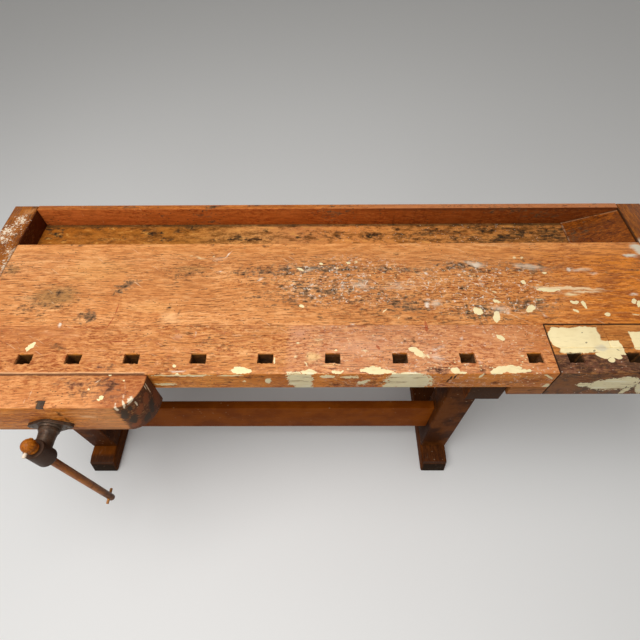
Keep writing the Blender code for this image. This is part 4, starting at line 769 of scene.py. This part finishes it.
def cap_finish(side):
    left = side == "left"
    tones = ((0.5, 0.15, 0.004), (0.28, 0.074, 0.001), (0.12, 0.027, 0))
    made = Wood(side + "_cap_wood", tones, "y", (0.2 if left else 2.2, 0.5, 0.1), dashes=0.4)
    made.loose = made.wandering(0.02, 50)
    if left:
        # Painted shade: the cap's faces that look along the bench, the tray's left wall among them,
        # are made nearly black
        made.coat(made.side(0).between(0.6, 0.9) * 0.92, (0.05, 0.006, 0.001))
        made.coat(made.y.between(0.2, 0.08) * 0.65, (0.66, 0.235, 0.045))
        wear_and_highlight = made.inside(CAP_WORN)
        chips = made.cloud(made.place, 150, 5, 0.75)
        made.rubbed(wear_and_highlight, (0.55, 0.22, 0.06), 0.75)
        film = ((wear_and_highlight + 0.6) * 0.9 + (chips - 0.5) * 6.5).between(0.92, 1.3)
        made.coat(film * made.y.between(0.358, 0.336) * 0.9, (0.95, 0.8, 0.6), 0.5, 0.0003)
        split = made.x.between(-0.985, -0.982) * chips.between(0.42, 0.56)
        made.coat(split * made.y.between(0.215, 0.205) * 0.8, (0.88, 0.7, 0.5))
        made.stained_and_shaded(CAP_STAIN)
    else:
        made.rubbed(WHITE_CAP, WHITE_SPILL, 0.8)
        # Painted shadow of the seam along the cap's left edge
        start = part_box("right_end_cap")[0].x
        made.coat(made.x.between(start + 0.00285, start + 0.00135) * 0.85, GAP_SHADOW)
    made.gritty(0.45, 0.2)
    made.specks(SOOT, 110, 0.2, 0.7, shift=2.6)
    return made.done()


def back_rail_finish():
    made = Wood("back_rail_wood", BROWN_WOOD, shift=(3.1, 0.2, 0.6))
    right = made.x
    wall = made.side(1).between(0.5, 0.85)
    top = 1 - wall
    made.grained(top * 0.8, (0.36, 0.09, 0.008), (0.62, 0.185, 0.028))
    made.coat(top * right.between(-0.2, 0.2) * 0.6, (0.58, 0.225, 0.09))
    made.coat(top * right.between(-0.3, -0.8) * 0.4, (0.34, 0.085, 0.001))
    tone = made.ramp(
        (right + 1) * 0.6,
        (0, (0.55, 0.125, 0.022)),
        (0.45, (0.4, 0.08, 0.008)),
        (0.75, (0.25, 0.042, 0.002)),
        (1, (0.16, 0.026, 0.001)),
    )
    made.coat(wall * 0.72, tone)
    made.grained(wall * 0.3, (0.12, 0.018, 0.001), tone)
    drips = made.cloud(made.placed(size=(1, 1, 0.12)), 120, 2).between(0.52, 0.7)
    made.coat(drips * wall * right.between(-0.3, 0.2) * 0.3, (0.1, 0.02, 0.003))
    line = made.z.between(0.77, 0.782) * right.between(-0.2, 0.3)
    made.coat(wall * line * 0.75, (0.1, 0.022, 0.005))
    stood = made.upright(made.wandering(0.01, 60, through=1))
    made.stained_and_shaded(BACK_STAIN, point=stood, level=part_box("tray_back_rail")[0].y, thick=0.02)
    made.stained_and_shaded(BACK_TOP_STAIN, thick=0.01)
    made.gritty(0.7, 0.25, (0.8, 0.28, 0.06))
    made.scratches((0.85, 0.42, 0.18), 60, 0.5, 1 - right.between(-0.7, -0.4), 1.7)
    made.specks(SOOT, 90, 0.2, 0.8, shift=3)
    return made.done()


def tray_finish():
    tones = ((0.62, 0.27, 0.075), (0.42, 0.155, 0.035), (0.2, 0.065, 0.012))
    made = Wood("tray_wood", tones, shift=(0.6, 2, 1))
    low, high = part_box("tray_floor")
    right, far = made.x, made.y
    drift = (made.cloud(made.place, 7) - 0.5) * 0.5
    tone = made.ramp(
        (right + 0.95) * 0.68 + drift * 0.12,
        (0, (0.48, 0.14, 0.004)),
        (0.3, (0.56, 0.23, 0.035)),
        (0.42, (0.98, 0.47, 0.14)),
        (0.52, (0.74, 0.3, 0.1)),
        (0.63, (0.98, 0.38, 0.1)),
        (0.8, (0.8, 0.31, 0.07)),
        (1, (0.7, 0.27, 0.06)),
    )
    made.coat(0.6, tone)
    # Painted shade at the floor's left end, beside the cap's wall
    made.coat((1 - right.between(-0.6, -0.3)) * 0.35, (0.33, 0.095, 0.004))
    blots = {"point": made.wandering(0.02, 40), "level": high.z, "thick": 0.02}
    made.stained_and_shaded(TRAY_STAIN, (0.028, 0.018, 0.01), 0.95, **blots)
    brown = made.grain(0.4, 60, 5, 0.75, (0, 3, 0))
    made.coat(brown.between(0.47, 0.61) * 0.75, (0.14, 0.045, 0.003), 0.7)
    made.coat(brown.between(0.44, 0.34) * 0.5, (0.86, 0.44, 0.1))
    crowd = right.between(-0.1, 0.5) * 0.12 + 0.03
    blot = made.grain(0.35, 70, 5, 0.75) + crowd
    made.coat(blot.between(0.58, 0.78) * 0.85, (0.03, 0.018, 0.008), 0.7)
    mottle = made.grain(0.3, 50) * 0.014
    front = low.y + 0.01
    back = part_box("tray_back_rail")[0].y - 0.002
    # Painted shade along the floor's front under the slab's edge, and in the corner at the back
    # rail
    made.coat((far - mottle).between(front + 0.006, front - 0.002) * 0.85, TRAY_CORNER_SHADE)
    made.coat((far + mottle).between(back - 0.006, back + 0.004) * 0.75, TRAY_CORNER_SHADE)
    made.gritty(0.6, 0.35)
    made.specks(CHALK, 130, 0.18, 0.6, right.between(-0.3, 0), 5)
    return made.done()


def ramp_finish():
    tones = ((0.42, 0.11, 0.008), (0.2, 0.046, 0.001), (0.07, 0.013, 0))
    made = Wood("ramp_wood", tones, shift=(5, 1, 1.4))
    made.loose = made.wandering(0.01, 50)
    low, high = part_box("tray_ramp")
    chips = made.cloud(made.place, 90).between(0.4, 0.52)
    made.coat(made.x.between(low.x + 0.004, low.x + 0.002) * chips * 0.6, (0.42, 0.28, 0.17))
    made.coat(made.y.between(high.y - 0.009, high.y - 0.005) * chips * 0.6, (0.46, 0.22, 0.1))
    # Painted shadow in the seam against the back rail
    made.coat(made.y.between(high.y - 0.004, high.y - 0.002) * 0.85, GAP_SHADOW)
    made.scratches((0.62, 0.3, 0.16), 50, 0.7, shift=2.2)
    made.stained_and_shaded(RAMP_STAIN, level=0.74, thick=0.06)
    made.gritty(0.6, 0.25, (0.6, 0.22, 0.05))
    made.specks(SOOT, 90, 0.2, 0.8, shift=9)
    return made.done()


def jaw_finish():
    tones = ((0.9, 0.42, 0.165), (0.74, 0.29, 0.095), (0.48, 0.165, 0.045))
    made = Wood("jaw_wood", tones, shift=(0.9, 3, 0.3), dashes=0.45)
    made.loose = made.wandering(0.008, 90)
    low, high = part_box("front_vise_jaw")
    right = made.x
    up = made.side(2)
    front = made.side(1).between(0.8, 0.97) * (1 - up)
    dark_end = (right + (made.patches - 0.5) * 0.06).between(-0.615, -0.575)
    made.coat(dark_end * 0.85, (0.46, 0.14, 0.04))
    made.grained(front * 0.88, (0.36, 0.085, 0.002), (0.78, 0.25, 0.02))
    slant = made.placed(turn=(0, math.radians(32), 0), size=(0.1, 1, 1))
    lines = made.cloud(slant, 60, 4, 0.6)
    made.coat(lines.between(0.5, 0.66) * front * 0.6, (0.86, 0.38, 0.12))
    made.coat(lines.between(0.48, 0.36) * front * 0.5, (0.28, 0.075, 0.014))
    made.coat(right.between(-0.7, -0.6) * front * 0.5, (0.82, 0.36, 0.125))
    face = {"point": made.upright(made.wandering(0.012, 60, through=1)), "level": low.y}
    # Painted shadow of the flange on the jaw's face
    made.stained_and_shaded(JAW_SHADE, (0.1, 0.025, 0.004), 0.8, **face)
    made.rubbed(JAW_RUB, (0.9, 0.52, 0.26), 0.7, **face)
    # Painted shade along the jaw's top back edge, in the gap against the rail
    back = made.y.between(high.y - 0.00445, high.y - 0.00195)
    made.coat(back * up * 0.8, GAP_SHADE, 0.8)
    end = right.between(-0.585, -0.545) * made.z.between(TOP + 0.002, TOP - 0.007)
    mottle = made.cloud(made.place, 55, 4, 0.7)
    made.coat((end + (mottle - 0.5) * 0.9).between(0.35, 0.75) * 0.92, (0.085, 0.028, 0.01), 0.6)
    made.coat(end * mottle.between(0.6, 0.68) * 0.6, (0.42, 0.12, 0.035))
    made.stained_and_shaded(JAW_STAIN)
    made.stained_and_shaded(CLOUDS_JAW, (0.24, 0.095, 0.05), 0.8)
    made.gritty(0.75, 0.4)
    made.rubbed(JAW_SCUFF, (0.95, 0.66, 0.42), 0.9, point=made.place)
    made.painted(JAW_PAINT, ragged=0.3)
    made.round_end(JAW_END)
    made.specks(SOOT, 120, 0.2, 0.8, shift=6)
    made.coat(made.z.between(low.z + 0.02, low.z) * 0.45, (0.14, 0.035, 0.008))
    return made.done()


def tail_finish(name, along, shift):
    tones = ((0.78, 0.33, 0.085), (0.56, 0.2, 0.04), (0.32, 0.095, 0.016))
    made = Wood(name, tones, along, shift)
    made.loose = made.wandering(0.014, 45)
    front = made.side(1).between(0.6, 0.9)
    wear_and_highlight = made.y.between(-0.15, -0.16)
    crowd = made.cloud(made.place, 30, 4, 0.7)
    bare = made.blend(crowd.between(0.42, 0.68), (0.06, 0.028, 0.016), (0.19, 0.08, 0.045))
    made.coat((wear_and_highlight + (crowd - 0.5) * 0.6).between(0.4, 0.7) * (1 - front) * 0.93, bare)
    made.coat(front * 0.9, (0.17, 0.06, 0.014))
    made.coat(crowd.between(0.45, 0.62) * front * 0.8, (0.055, 0.03, 0.014))
    made.specks(CHALK, 120, 0.16, 0.8, wear_and_highlight, 3)
    made.stained_and_shaded(TAIL_STAIN, (0.05, 0.02, 0.008))
    made.gritty(1, 0.3, (0.7, 0.3, 0.09))
    film = made.inside(TAIL_PAINT).most(made.inside(TAIL_BLOCKS, square=True))
    made.painted(film, ragged=0.12)
    made.coat(made.inside(TAIL_DOTS).between(0, 0.5) * 0.8, (0.22, 0.17, 0.1))
    made.rubbed(TAIL_RUB, (0.66, 0.6, 0.46), 0.6)
    made.shaded_holes()
    stood = made.upright(made.wandering(0.016, 50, through=1))
    made.weathered(made.inside(TAIL_FACE, stood, RAIL_FRONT))
    # Painted shadow of the seams on the tail vise's left end and on its back
    made.coat(made.x.between(SEAM_X + 0.003, SEAM_X + 0.0015) * 0.9, GAP_SHADOW, 0.8)
    back = made.y.between(SLAB_FRONT - 0.00305, SLAB_FRONT - 0.00175)
    made.coat(back * 0.95, GAP_SHADOW, 0.8)
    return made.done()


def base_finish(along):
    made = Wood("base_wood_" + along, DARK_WOOD, along, (4, 1.1, 0.7), 0.6, 0.4, shine=0.06)
    low = made.z.between(0.125, 0.1)
    lean = made.side(1)
    if along == "x":
        red = made.blend(made.patches.between(0.4, 0.6), (0.24, 0.05, 0.002), (0.34, 0.08, 0.004))
        made.coat(0.65, red)
    if along == "y":
        bevel = lean.between(0.35, 0.6) * (1 - lean.between(0.8, 0.95)) * low
        made.coat(bevel * 0.85, (0.05, 0.026, 0.017))
        made.coat(lean.between(0.85, 0.97) * low * 0.93, (0.008, 0.005, 0.002))
        made.coat((1 - low) * lean.between(0.8, 0.95) * 0.8, (0.026, 0.014, 0.007))
        level = made.side(2).between(0.8, 0.95) * low
        left = made.x.between(0.1, -0.1)
        behind_toe = made.y.between(-0.168, -0.15)
        made.coat(level * left * behind_toe * 0.45, (0.24, 0.058, 0.002))
        made.coat(level * left * (1 - behind_toe) * 0.6, (0.03, 0.014, 0.008))
        made.coat(level * (1 - left) * 0.35, (0.022, 0.012, 0.008))
    if along == "z":
        made.coat(0.6, (0.02, 0.004, 0))
        made.coat(made.x.between(0, 0.3) * 0.45, (0.012, 0.003, 0))
        below = 1 - made.z.between(0.45, 0.62)
        made.coat(made.patches.between(0.45, 0.65) * below * 0.5, (0.24, 0.07, 0.012))
    dust = made.grain(0.2, 120).between(0.62, 0.8)
    made.coat(dust * 0.35, (0.36, 0.2, 0.11))
    made.specks((0.45, 0.32, 0.2), 60, 0.15, 0.5, shift=8)
    return made.done()


def handle_finish():
    tones = ((0.6, 0.185, 0.012), (0.36, 0.095, 0.004), (0.15, 0.032, 0.001))
    made = Wood("handle_wood", tones, "z", rough=0.34, dashes=0.3)
    made.coat(made.patches.between(0.35, 0.6) * 0.5, (0.46, 0.15, 0.01))
    made.coat(made.cloud(made.place, 50).between(0.52, 0.7) * 0.6, (0.09, 0.022, 0.002), 0.5)
    made.coat(made.z.between(0.44, 0.31) * 0.7, (0.06, 0.018, 0.003))
    return made.done()


def pin_finish():
    tones = ((0.7, 0.33, 0.1), (0.48, 0.2, 0.045), (0.25, 0.09, 0.02))
    made = Wood("pin_wood", tones, "y", dashes=0.3)
    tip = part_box("front_vise_handle_upper_pin")[0].y
    white = made.y.between(tip + 0.012, tip + 0.008)
    made.coat(white * made.z.between(0.6, 0.61) * 0.85, (0.92, 0.78, 0.62))
    return made.done()


def iron_finish(name, dark, bright, rust):
    """Old iron: brown and grey patches, pits, and metal rubbed bright on the high parts."""
    made = Finish(name, metallic=0.55, shine=0.4)
    patch = made.cloud(made.place, 42, 5, 0.65)
    grain = made.cloud(made.place, 420, 3, 0.6)
    made.colour = made.ramp(patch * 0.7 + grain * 0.3, (0.38, dark), (0.62, bright))
    made.rough = 0.42 + (grain - 0.5) * 0.5
    made.height = grain * 0.0002 + patch * 0.0004
    made.coat(made.cloud(made.place, 75, 4, 0.7).between(0.5, 0.66) * 0.75, rust, 0.75)
    pits = made.cloud(made.place, 900, 1).between(0.68, 0.75)
    made.coat(pits * 0.6, times(dark, (0.3, 0.3, 0.3)), 0.8, -0.0003)
    made.coat(made.y.between(-0.332, -0.342) * 0.85, (0.034, 0.01, 0.001), 0.55)
    return made.done()


def under_finish():
    tones = ((0.5, 0.19, 0.05), (0.32, 0.11, 0.024), (0.16, 0.05, 0.01))
    return Wood("under_wood", tones, shift=(2, 5, 0)).done()


slab_wood = slab_finish()
rail_wood = rail_finish()
left_cap_wood = cap_finish("left")
right_cap_wood = cap_finish("right")
back_rail_wood = back_rail_finish()
tray_wood = tray_finish()
ramp_wood = ramp_finish()
jaw_wood = jaw_finish()
tail_wood = tail_finish("tail_wood", "x", (2.7, 1.9, 0.4))
tail_board_wood = tail_finish("tail_board_wood", "x", (6.7, 0.4, 2.4))
tail_end_wood = tail_finish("tail_end_wood", "y", (1.2, 0.8, 3.1))
under_wood = under_finish()
base_wood_x = base_finish("x")
base_wood_y = base_finish("y")
base_wood_z = base_finish("z")
handle_wood = handle_finish()
pin_wood = pin_finish()
iron = iron_finish("vise_iron", (0.028, 0.014, 0.007), (0.105, 0.066, 0.04), (0.085, 0.03, 0.009))
steel = iron_finish("bolt_steel", (0.11, 0.095, 0.08), (0.26, 0.23, 0.2), (0.16, 0.065, 0.025))


# Shapes


def middle_of(edge):
    return (edge.verts[0].co + edge.verts[1].co) / 2


def solid_of(node):
    """A copy of a solid, welded, with its flat faces whole again."""
    shape = bmesh.new()
    shape.from_mesh(frame["nodes"][node].data)
    bmesh.ops.remove_doubles(shape, verts=shape.verts, dist=WELD)
    bmesh.ops.recalc_face_normals(shape, faces=shape.faces)
    flat = math.radians(1)
    bmesh.ops.dissolve_limit(shape, angle_limit=flat, verts=shape.verts, edges=shape.edges)
    return shape


def soften(shape, width, segments, where):
    """Rounds the edges that turn sharply and pass a test on their middle."""
    sharp = [
        edge
        for edge in shape.edges
        if len(edge.link_faces) == 2
        and edge.calc_face_angle(0) >= math.radians(30)
        and (where is None or where(middle_of(edge)))
    ]
    bmesh.ops.bevel(
        shape,
        geom=sharp,
        offset=width,
        offset_type="OFFSET",
        affect="EDGES",
        segments=segments,
        profile=0.5,
        material=-1,
        clamp_overlap=False,
    )


def divide(shape, step, where):
    """Splits long edges into steps, so that wear can move the points along them."""
    longest = 400
    for count in range(2, longest):
        low, high = step * (count - 0.5), step * (count + 0.5)
        if count == longest - 1:
            high = math.inf
        edges = [
            edge
            for edge in shape.edges
            if low <= edge.calc_length() < high and where(middle_of(edge))
        ]
        if edges:
            bmesh.ops.bisect_edges(shape, edges=edges, cuts=count - 1)


def tidy(shape):
    bmesh.ops.remove_doubles(shape, verts=shape.verts, dist=WELD / 4)
    bmesh.ops.dissolve_degenerate(shape, edges=shape.edges, dist=WELD / 20)
    bmesh.ops.recalc_face_normals(shape, faces=shape.faces)


def lathe(profile, steps):
    """A turned shape about z, from the (radius, height) points of its side in millimetres."""
    shape = bmesh.new()
    verts = [
        shape.verts.new((radius * MILLIMETRE, 0, height * MILLIMETRE)) for radius, height in profile
    ]
    edges = [shape.edges.new(pair) for pair in zip(verts, verts[1:])]
    bmesh.ops.spin(
        shape,
        geom=verts + edges,
        cent=(0, 0, 0),
        axis=(0, 0, 1),
        angle=2 * math.pi,
        steps=steps,
        use_merge=True,
    )
    tidy(shape)
    return shape


def stand(shape, point, axis):
    """Turns a shape's z axis along an axis and moves it to a point."""
    turn = Vector(axis).to_track_quat("Z", "Y").to_matrix().to_4x4()
    shape.transform(Matrix.Translation(point) @ turn)
    return shape


def gather(shapes):
    """One shape out of several."""
    whole = bmesh.new()
    for shape in shapes:
        part = bpy.data.meshes.new("part")
        shape.to_mesh(part)
        shape.free()
        whole.from_mesh(part)
        bpy.data.meshes.remove(part)
    return whole


def shown(name, data):
    """An object in the scene, at the origin."""
    item = bpy.data.objects.new(name, data)
    bpy.context.scene.collection.objects.link(item)
    return item


def piece(name, shape, material, body, slot, *nodes, sharp=35):
    mesh = bpy.data.meshes.new(name)
    shape.to_mesh(mesh)
    shape.free()
    mesh.shade_smooth()
    mesh.set_sharp_from_angle(angle=math.radians(sharp))
    mesh.materials.append(material)
    item = shown(name, mesh)
    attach(item, body)
    if nodes:
        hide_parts(*nodes)


def finish_nodes(material, *nodes):
    """Gives solids that are shown as they are their material."""
    for node in nodes:
        slots = frame["nodes"][node].data.materials
        if len(slots):
            for index in range(len(slots)):
                slots[index] = material
        else:
            slots.append(material)


def body_of(node):
    return frame["nodes"][node]["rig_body"]


def eased(node, ending, material, slot, width=0.0006, segments=2, change=None, where=None,
          sharp=20):
    """Stands for a solid with the same shape, its edges softly rounded."""
    shape = solid_of(node)
    if change:
        change(shape)
    soften(shape, width, segments, where)
    piece(node + ending, shape, material, body_of(node), slot, node, sharp=sharp)


# Pieces


def ragged_holes(shape):
    """Breaks the rims of the dog holes, where the dogs have knocked the wood away."""
    bmesh.ops.bisect_plane(
        shape,
        geom=shape.verts[:] + shape.edges[:] + shape.faces[:],
        plane_co=(0, 0, TOP - 0.008),
        plane_no=(0, 0, 1),
        dist=0.0001,
    )

    def on_rim(point):
        beside = abs(point.y - DOG_LINE) < DOG_WIDTH / 2 + 0.001
        return beside and point.z > TOP - 0.0005

    divide(shape, 0.0035, on_rim)
    shape.normal_update()
    for vert in shape.verts:
        if not on_rim(vert.co) or abs(vert.normal.z) > 0.99:
            continue
        swing = noise.noise(vert.co * 110) + 0.6 * noise.noise(vert.co * 330)
        depth = 0.003 * max(0, 0.25 + swing)
        for chip in CHIPS:
            x, y, reach, deepest = (value * MILLIMETRE for value in chip)
            away = math.hypot(vert.co.x - x, vert.co.y - y)
            depth += deepest * max(0, 1 - away / reach)
        vert.co.x -= vert.normal.x * depth
        vert.co.y -= vert.normal.y * depth


def away_from_seam(point):
    """False along the glued joint of the slab and the rail, which stays tight."""
    seam = abs(point.y - SLAB_FRONT) < 0.001 and point.x < RAIL_END
    return not (seam and point.z > TOP - 0.001)


def make_boards():
    for material, slot, *nodes in (
        (slab_wood, "top_wood", "top_slab"),
        (rail_wood, "top_wood", "dog_hole_rail"),
        (under_wood, "top_wood", "tail_cheek_block"),
        (left_cap_wood, "top_wood", "left_end_cap"),
        (right_cap_wood, "top_wood", "right_end_cap"),
        (back_rail_wood, "top_wood", "tray_back_rail"),
        (tray_wood, "tray_wood", "tray_floor"),
        (ramp_wood, "tray_wood", "tray_ramp"),
        (jaw_wood, "vise_wood", "front_vise_jaw"),
        (under_wood, "vise_wood", "front_vise_cheek_block", "front_vise_guide_beam"),
        (tail_wood, "vise_wood", "tail_vise_front_rail", "tail_vise_jaw_block"),
        (tail_board_wood, "vise_wood", "tail_vise_cover_board"),
        (tail_end_wood, "vise_wood", "tail_vise_end_block"),
        (base_wood_x, "base_wood", "front_stretcher", "rear_stretcher"),
    ):
        for node in nodes:
            holed = node in ("dog_hole_rail", "tail_vise_front_rail")
            change = ragged_holes if holed else None
            eased(node, "_worn", material, slot, change=change, where=away_from_seam)
    finish_nodes(under_wood, "tail_vise_guide_rail")
    for side in ("left", "right"):
        eased(f"{side}_foot", "_worn", base_wood_y, "base_wood", 0.0035, 3)
        eased(f"{side}_bearer", "_worn", base_wood_y, "base_wood", 0.002)
        for end in ("front", "rear"):
            eased(f"{side}_{end}_leg", "_worn", base_wood_z, "base_wood", 0.002)
            for kind in ("bolt", "nut"):
                finish_nodes(steel, f"{side}_{end}_stretcher_{kind}", f"{side}_cap_{end}_{kind}")
        finish_nodes(base_wood_z, f"{side}_locating_pin")
        finish_nodes(iron, f"front_vise_{side}_guide_rod")


def make_thread(core, reach):
    """A rib wound round a screw's core, from near its tip to the garter's neck."""
    tip, neck, run_out, steps = 4.5, 19.5, 4, 20
    shape = bmesh.new()
    rib = ((core - 0.5, 0), (13.9, 0.9), (13.9, 3), (core - 0.5, 3.9))
    verts = [
        shape.verts.new((radius * MILLIMETRE, 0, height * MILLIMETRE)) for radius, height in rib
    ]
    turns = int((reach - neck - tip - run_out) * MILLIMETRE / THREAD_LEAD)
    bmesh.ops.spin(
        shape,
        geom=[shape.faces.new(verts)],
        cent=(0, 0, 0),
        axis=(0, 0, 1),
        dvec=(0, 0, THREAD_LEAD / steps),
        angle=2 * math.pi * turns,
        steps=steps * turns,
    )
    tidy(shape)
    shape.transform(Matrix.Translation((0, 0, (tip - reach) * MILLIMETRE)))
    return shape


def make_screw(prefix, face, out, reach):
    """The screw with its thread, neck and upright hub."""
    core, collar = 11.6, 13.6
    bar = (
        (0, -reach), (core - 3, -reach), (core, -reach + 4), (core, -19), (14, -18.5),
        (14, -18.1), (9, -18.1), (9, -5.5), (14, -5.5), (14, collar), (23, collar),
        (23.5, collar + 0.6), (23.5, collar + 6), (23, collar + 6.7), (21.7, collar + 8.5),
        (20.6, collar + 11.5), (19.9, collar + 16.5), (19.5, collar + 24), (19.5, 60.2), (0, 60.2),
    )
    side = (
        (10.3, 30.5), (10.9, 31), (20.8, 31), (22.2, 30.5), (22.8, 29.2), (23, 27),
    )
    ring = (*side, *((radius, -height) for radius, height in reversed(side)), side[0])
    hub_middle = face + out * HUB_OUT
    whole = gather([
        stand(lathe(bar, 56), face, out),
        stand(make_thread(core, reach), face, out),
        stand(lathe(ring, 56), hub_middle, UP),
    ])
    screw = prefix + "_screw"
    piece(screw + "_iron", whole, iron, body_of(screw), "iron", screw)
    return hub_middle


def make_wood_screws(prefix, face, out):
    """The round heads of the wood screws that hold a flange."""
    across = UP.cross(out)
    seat = face + out * FLANGE_FACE
    if prefix == "front_vise":
        places, size = (across * 0.044, across * -0.044), 1
    else:
        places, size = (across * 0.0286, across * -0.0286, UP * 0.0286, UP * -0.0286), 0.7
    heads = []
    for place in places:
        head = lathe(((0, -0.5), (3.6, -0.5), (3.6, 0.5), (3.1, 1.2), (1.8, 1.7), (0, 1.8)), 20)
        head.transform(Matrix.Scale(size, 4))
        heads.append(stand(head, seat + place, out))
    flange = prefix + "_flange"
    piece(flange + "_screws", gather(heads), steel, body_of(flange), "iron")


def make_handle(prefix, hub_middle):
    """A turned handle with a knob, lightly ringed along its length."""
    knob, radius, rings = 50, 16, 13
    profile = [(0, knob + radius)]
    for step in range(1, 13):
        angle = math.radians(90 - step * 11.5)
        profile.append((radius * math.cos(angle), knob + radius * math.sin(angle)))
    profile += [(11.5, 37.5), (11.8, 36.1), (13.2, 35.3), (13.5, 34.3), (13.5, 31.9), (13, 31.3),
                (9.6, 31.3)]
    profile += [(9.5 - 0.12 * (step % 2), -34 * step) for step in range(rings)]
    profile += [(9.5, -411.5), (8.8, -414), (7, -415), (0, -415)]
    handle = prefix + "_handle"
    shape = stand(lathe(profile, 48), hub_middle, UP)
    piece(handle + "_turned", shape, handle_wood, body_of(handle), "handle_wood", handle)


def make_irons():
    for prefix, out, board in (
        ("front_vise", OUT_FRONT, "front_vise_jaw"),
        ("tail_vise", OUT_RIGHT, "tail_vise_end_block"),
    ):
        low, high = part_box(prefix + "_screw")
        middle = (low + high) / 2
        surface = max(corner.dot(out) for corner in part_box(board))
        face = middle + out * (surface - middle.dot(out))
        reach = (surface - min(low.dot(out), high.dot(out))) / MILLIMETRE
        hub = make_screw(prefix, face, out, reach)
        make_handle(prefix, hub)
        make_wood_screws(prefix, face, out)
        for part in ("flange", "garter", "nut"):
            eased(f"{prefix}_{part}", "_iron", iron, "iron", 0.0008)
        for end in ("upper", "lower"):
            pin = f"{prefix}_handle_{end}_pin"
            eased(pin, "_turned", pin_wood, "handle_wood", 0.0012, sharp=35)


make_boards()
make_irons()


# Floor, light and camera


def make_floor():
    shape = bmesh.new()
    bmesh.ops.create_grid(shape, x_segments=1, y_segments=1, size=30)
    mesh = bpy.data.meshes.new("floor")
    shape.to_mesh(mesh)
    shape.free()
    made = Finish("floor")
    made.colour = made.blend(made.seen_ray(), (0.16, 0.155, 0.145), (0.86, 0.855, 0.84))
    made.rough = 0.9
    mesh.materials.append(made.done())
    shown("floor", mesh)


def make_lamp(name, place, aim, size, power):
    light = bpy.data.lights.new(name, "AREA")
    light.shape = "SQUARE"
    light.size = size
    light.energy = power
    lamp = shown(name, light)
    lamp.location = place
    lamp.rotation_euler = (Vector(aim) - Vector(place)).to_track_quat("-Z", "Y").to_euler()


def make_light():
    """Two soft lamps, and a pale room that only the camera and reflections see."""
    make_lamp("lamp_above", (-0.9, -0.7, 3.3), (0, 0, 0.75), 2.2, 73)
    make_lamp("lamp_front", (-0.8, -3.4, 1.9), (0, 0, 0.6), 1.6, 31)
    world = bpy.data.worlds.new("studio")
    bpy.context.scene.world = world
    world.use_nodes = True
    nodes = Nodes(world.node_tree)
    soft = nodes.node("Background", None, {"Color": (1, 0.98, 0.95), "Strength": 0.25})
    pale = nodes.node("Background", None, {"Color": (1, 1, 1), "Strength": 1})
    mix = nodes.node("MixShader", None, {0: nodes.seen_ray(), 1: soft, 2: pale})
    nodes.node("OutputWorld", None, {"Surface": mix})


def make_camera():
    """Stands where the picture was taken, above the front edge and looking steeply down."""
    down, sideways, tilt = (math.radians(angle) for angle in (54.681, -0.551, -0.619))
    ahead = Vector((math.sin(sideways), math.cos(sideways), 0))
    look = ahead * math.cos(down) - UP * math.sin(down)
    level = Vector((math.cos(sideways), -math.sin(sideways), 0))
    upward = level.cross(look)
    across = level * math.cos(tilt) + upward * math.sin(tilt)
    rise = upward * math.cos(tilt) - level * math.sin(tilt)
    turn = Matrix((across, rise, -look)).transposed().to_4x4()
    data = bpy.data.cameras.new("camera")
    data.sensor_width = 36
    data.lens = 24.461
    data.clip_start = 0.05
    camera = shown("camera", data)
    camera.matrix_world = Matrix.Translation((-0.09495, -0.68775, 1.6816)) @ turn
    bpy.context.scene.camera = camera


make_floor()
make_light()
make_camera()
bpy.context.scene.view_settings.view_transform = "Standard"
